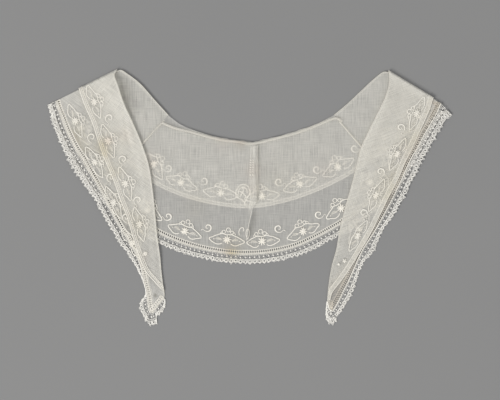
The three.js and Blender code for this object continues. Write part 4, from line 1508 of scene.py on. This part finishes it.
seams = {side: shoulder_seam(side) for side in fronts}
rolled = {(side, tier): front_edge(side, tier) for side in fronts for tier in ("short", "long")}
binding = neck_binding()
tuck, tuck_stitches = centre_tuck()


for (key, tier), piece in cloth.items():
    sewn_on = [*hems[key, tier], embroideries[key, tier]]
    if tier == "long":
        sewn_on.append(laces[key])
    if key == "back":
        sewn_on += [*seams.values(), binding] if tier == "long" else []

# ---- floor, light and camera ----
def table_top():
    """An even light grey."""
    finish = Finish("light grey table")
    where = finish.node("TexCoord", output=3)
    shade = finish.noise(where, 3.0, 3.0)
    colour = finish.blended(shade, (0.236, 0.237, 0.238, 1), (0.25, 0.25, 0.25, 1))
    return finish.surface({"Base Color": colour, "Roughness": 0.9, "Specular IOR Level": 0.1})


TABLE_HALF = 3
TABLE_LEVEL = -0.3 * MM  # a hair under the lowest threads


def floor():
    """The table that the collar lies on."""
    mesh = bpy.data.meshes.new("table")
    corners = [(x * TABLE_HALF, y * TABLE_HALF, 0) for x, y in ((-1, -1), (1, -1), (1, 1), (-1, 1))]
    mesh.from_pydata(corners, [], [(0, 1, 2, 3)])
    mesh.materials.append(table_top())
    table = bpy.data.objects.new("table", mesh)
    table.location = (0, 0, TABLE_LEVEL)
    bpy.context.scene.collection.objects.link(table)


def area_light(name, place, size, energy, colour):
    """A soft light that is turned towards the collar."""
    light = bpy.data.lights.new(name, "AREA")
    light.energy, light.size, light.color = energy, size, colour
    lamp = bpy.data.objects.new(name, light)
    lamp.location = place
    lamp.rotation_euler = (-Vector(place)).to_track_quat("-Z", "Y").to_euler()
    bpy.context.scene.collection.objects.link(lamp)


LENS, SENSOR = 85, 36
VIEW_WIDTH = 0.550  # how much of the table the camera sees from left to right
VIEW_MIDDLE = (0.55 * MM, -3.75 * MM)


def camera():
    """Looks straight down."""
    data = bpy.data.cameras.new("camera")
    data.lens, data.sensor_width = LENS, SENSOR
    holder = bpy.data.objects.new("camera", data)
    holder.location = (*VIEW_MIDDLE, VIEW_WIDTH * LENS / SENSOR)
    bpy.context.scene.collection.objects.link(holder)
    bpy.context.scene.camera = holder


def surroundings():
    """Even white light from all round."""
    world = bpy.data.worlds.new("room")
    world.use_nodes = True
    sky = world.node_tree.nodes["Background"].inputs
    sky["Color"].default_value = (1.0, 1.0, 1.0, 1)
    sky["Strength"].default_value = 0.5
    bpy.context.scene.world = world
    bpy.context.scene.view_settings.view_transform = "Standard"


floor()
area_light("soft window light", (-3.4, -3.0, 4.2), 2.4, 302, (1.0, 0.99, 0.97))
area_light("fill", (2.4, 2.8, 4.4), 4.0, 38, (0.97, 0.98, 1.0))
camera()
surroundings()
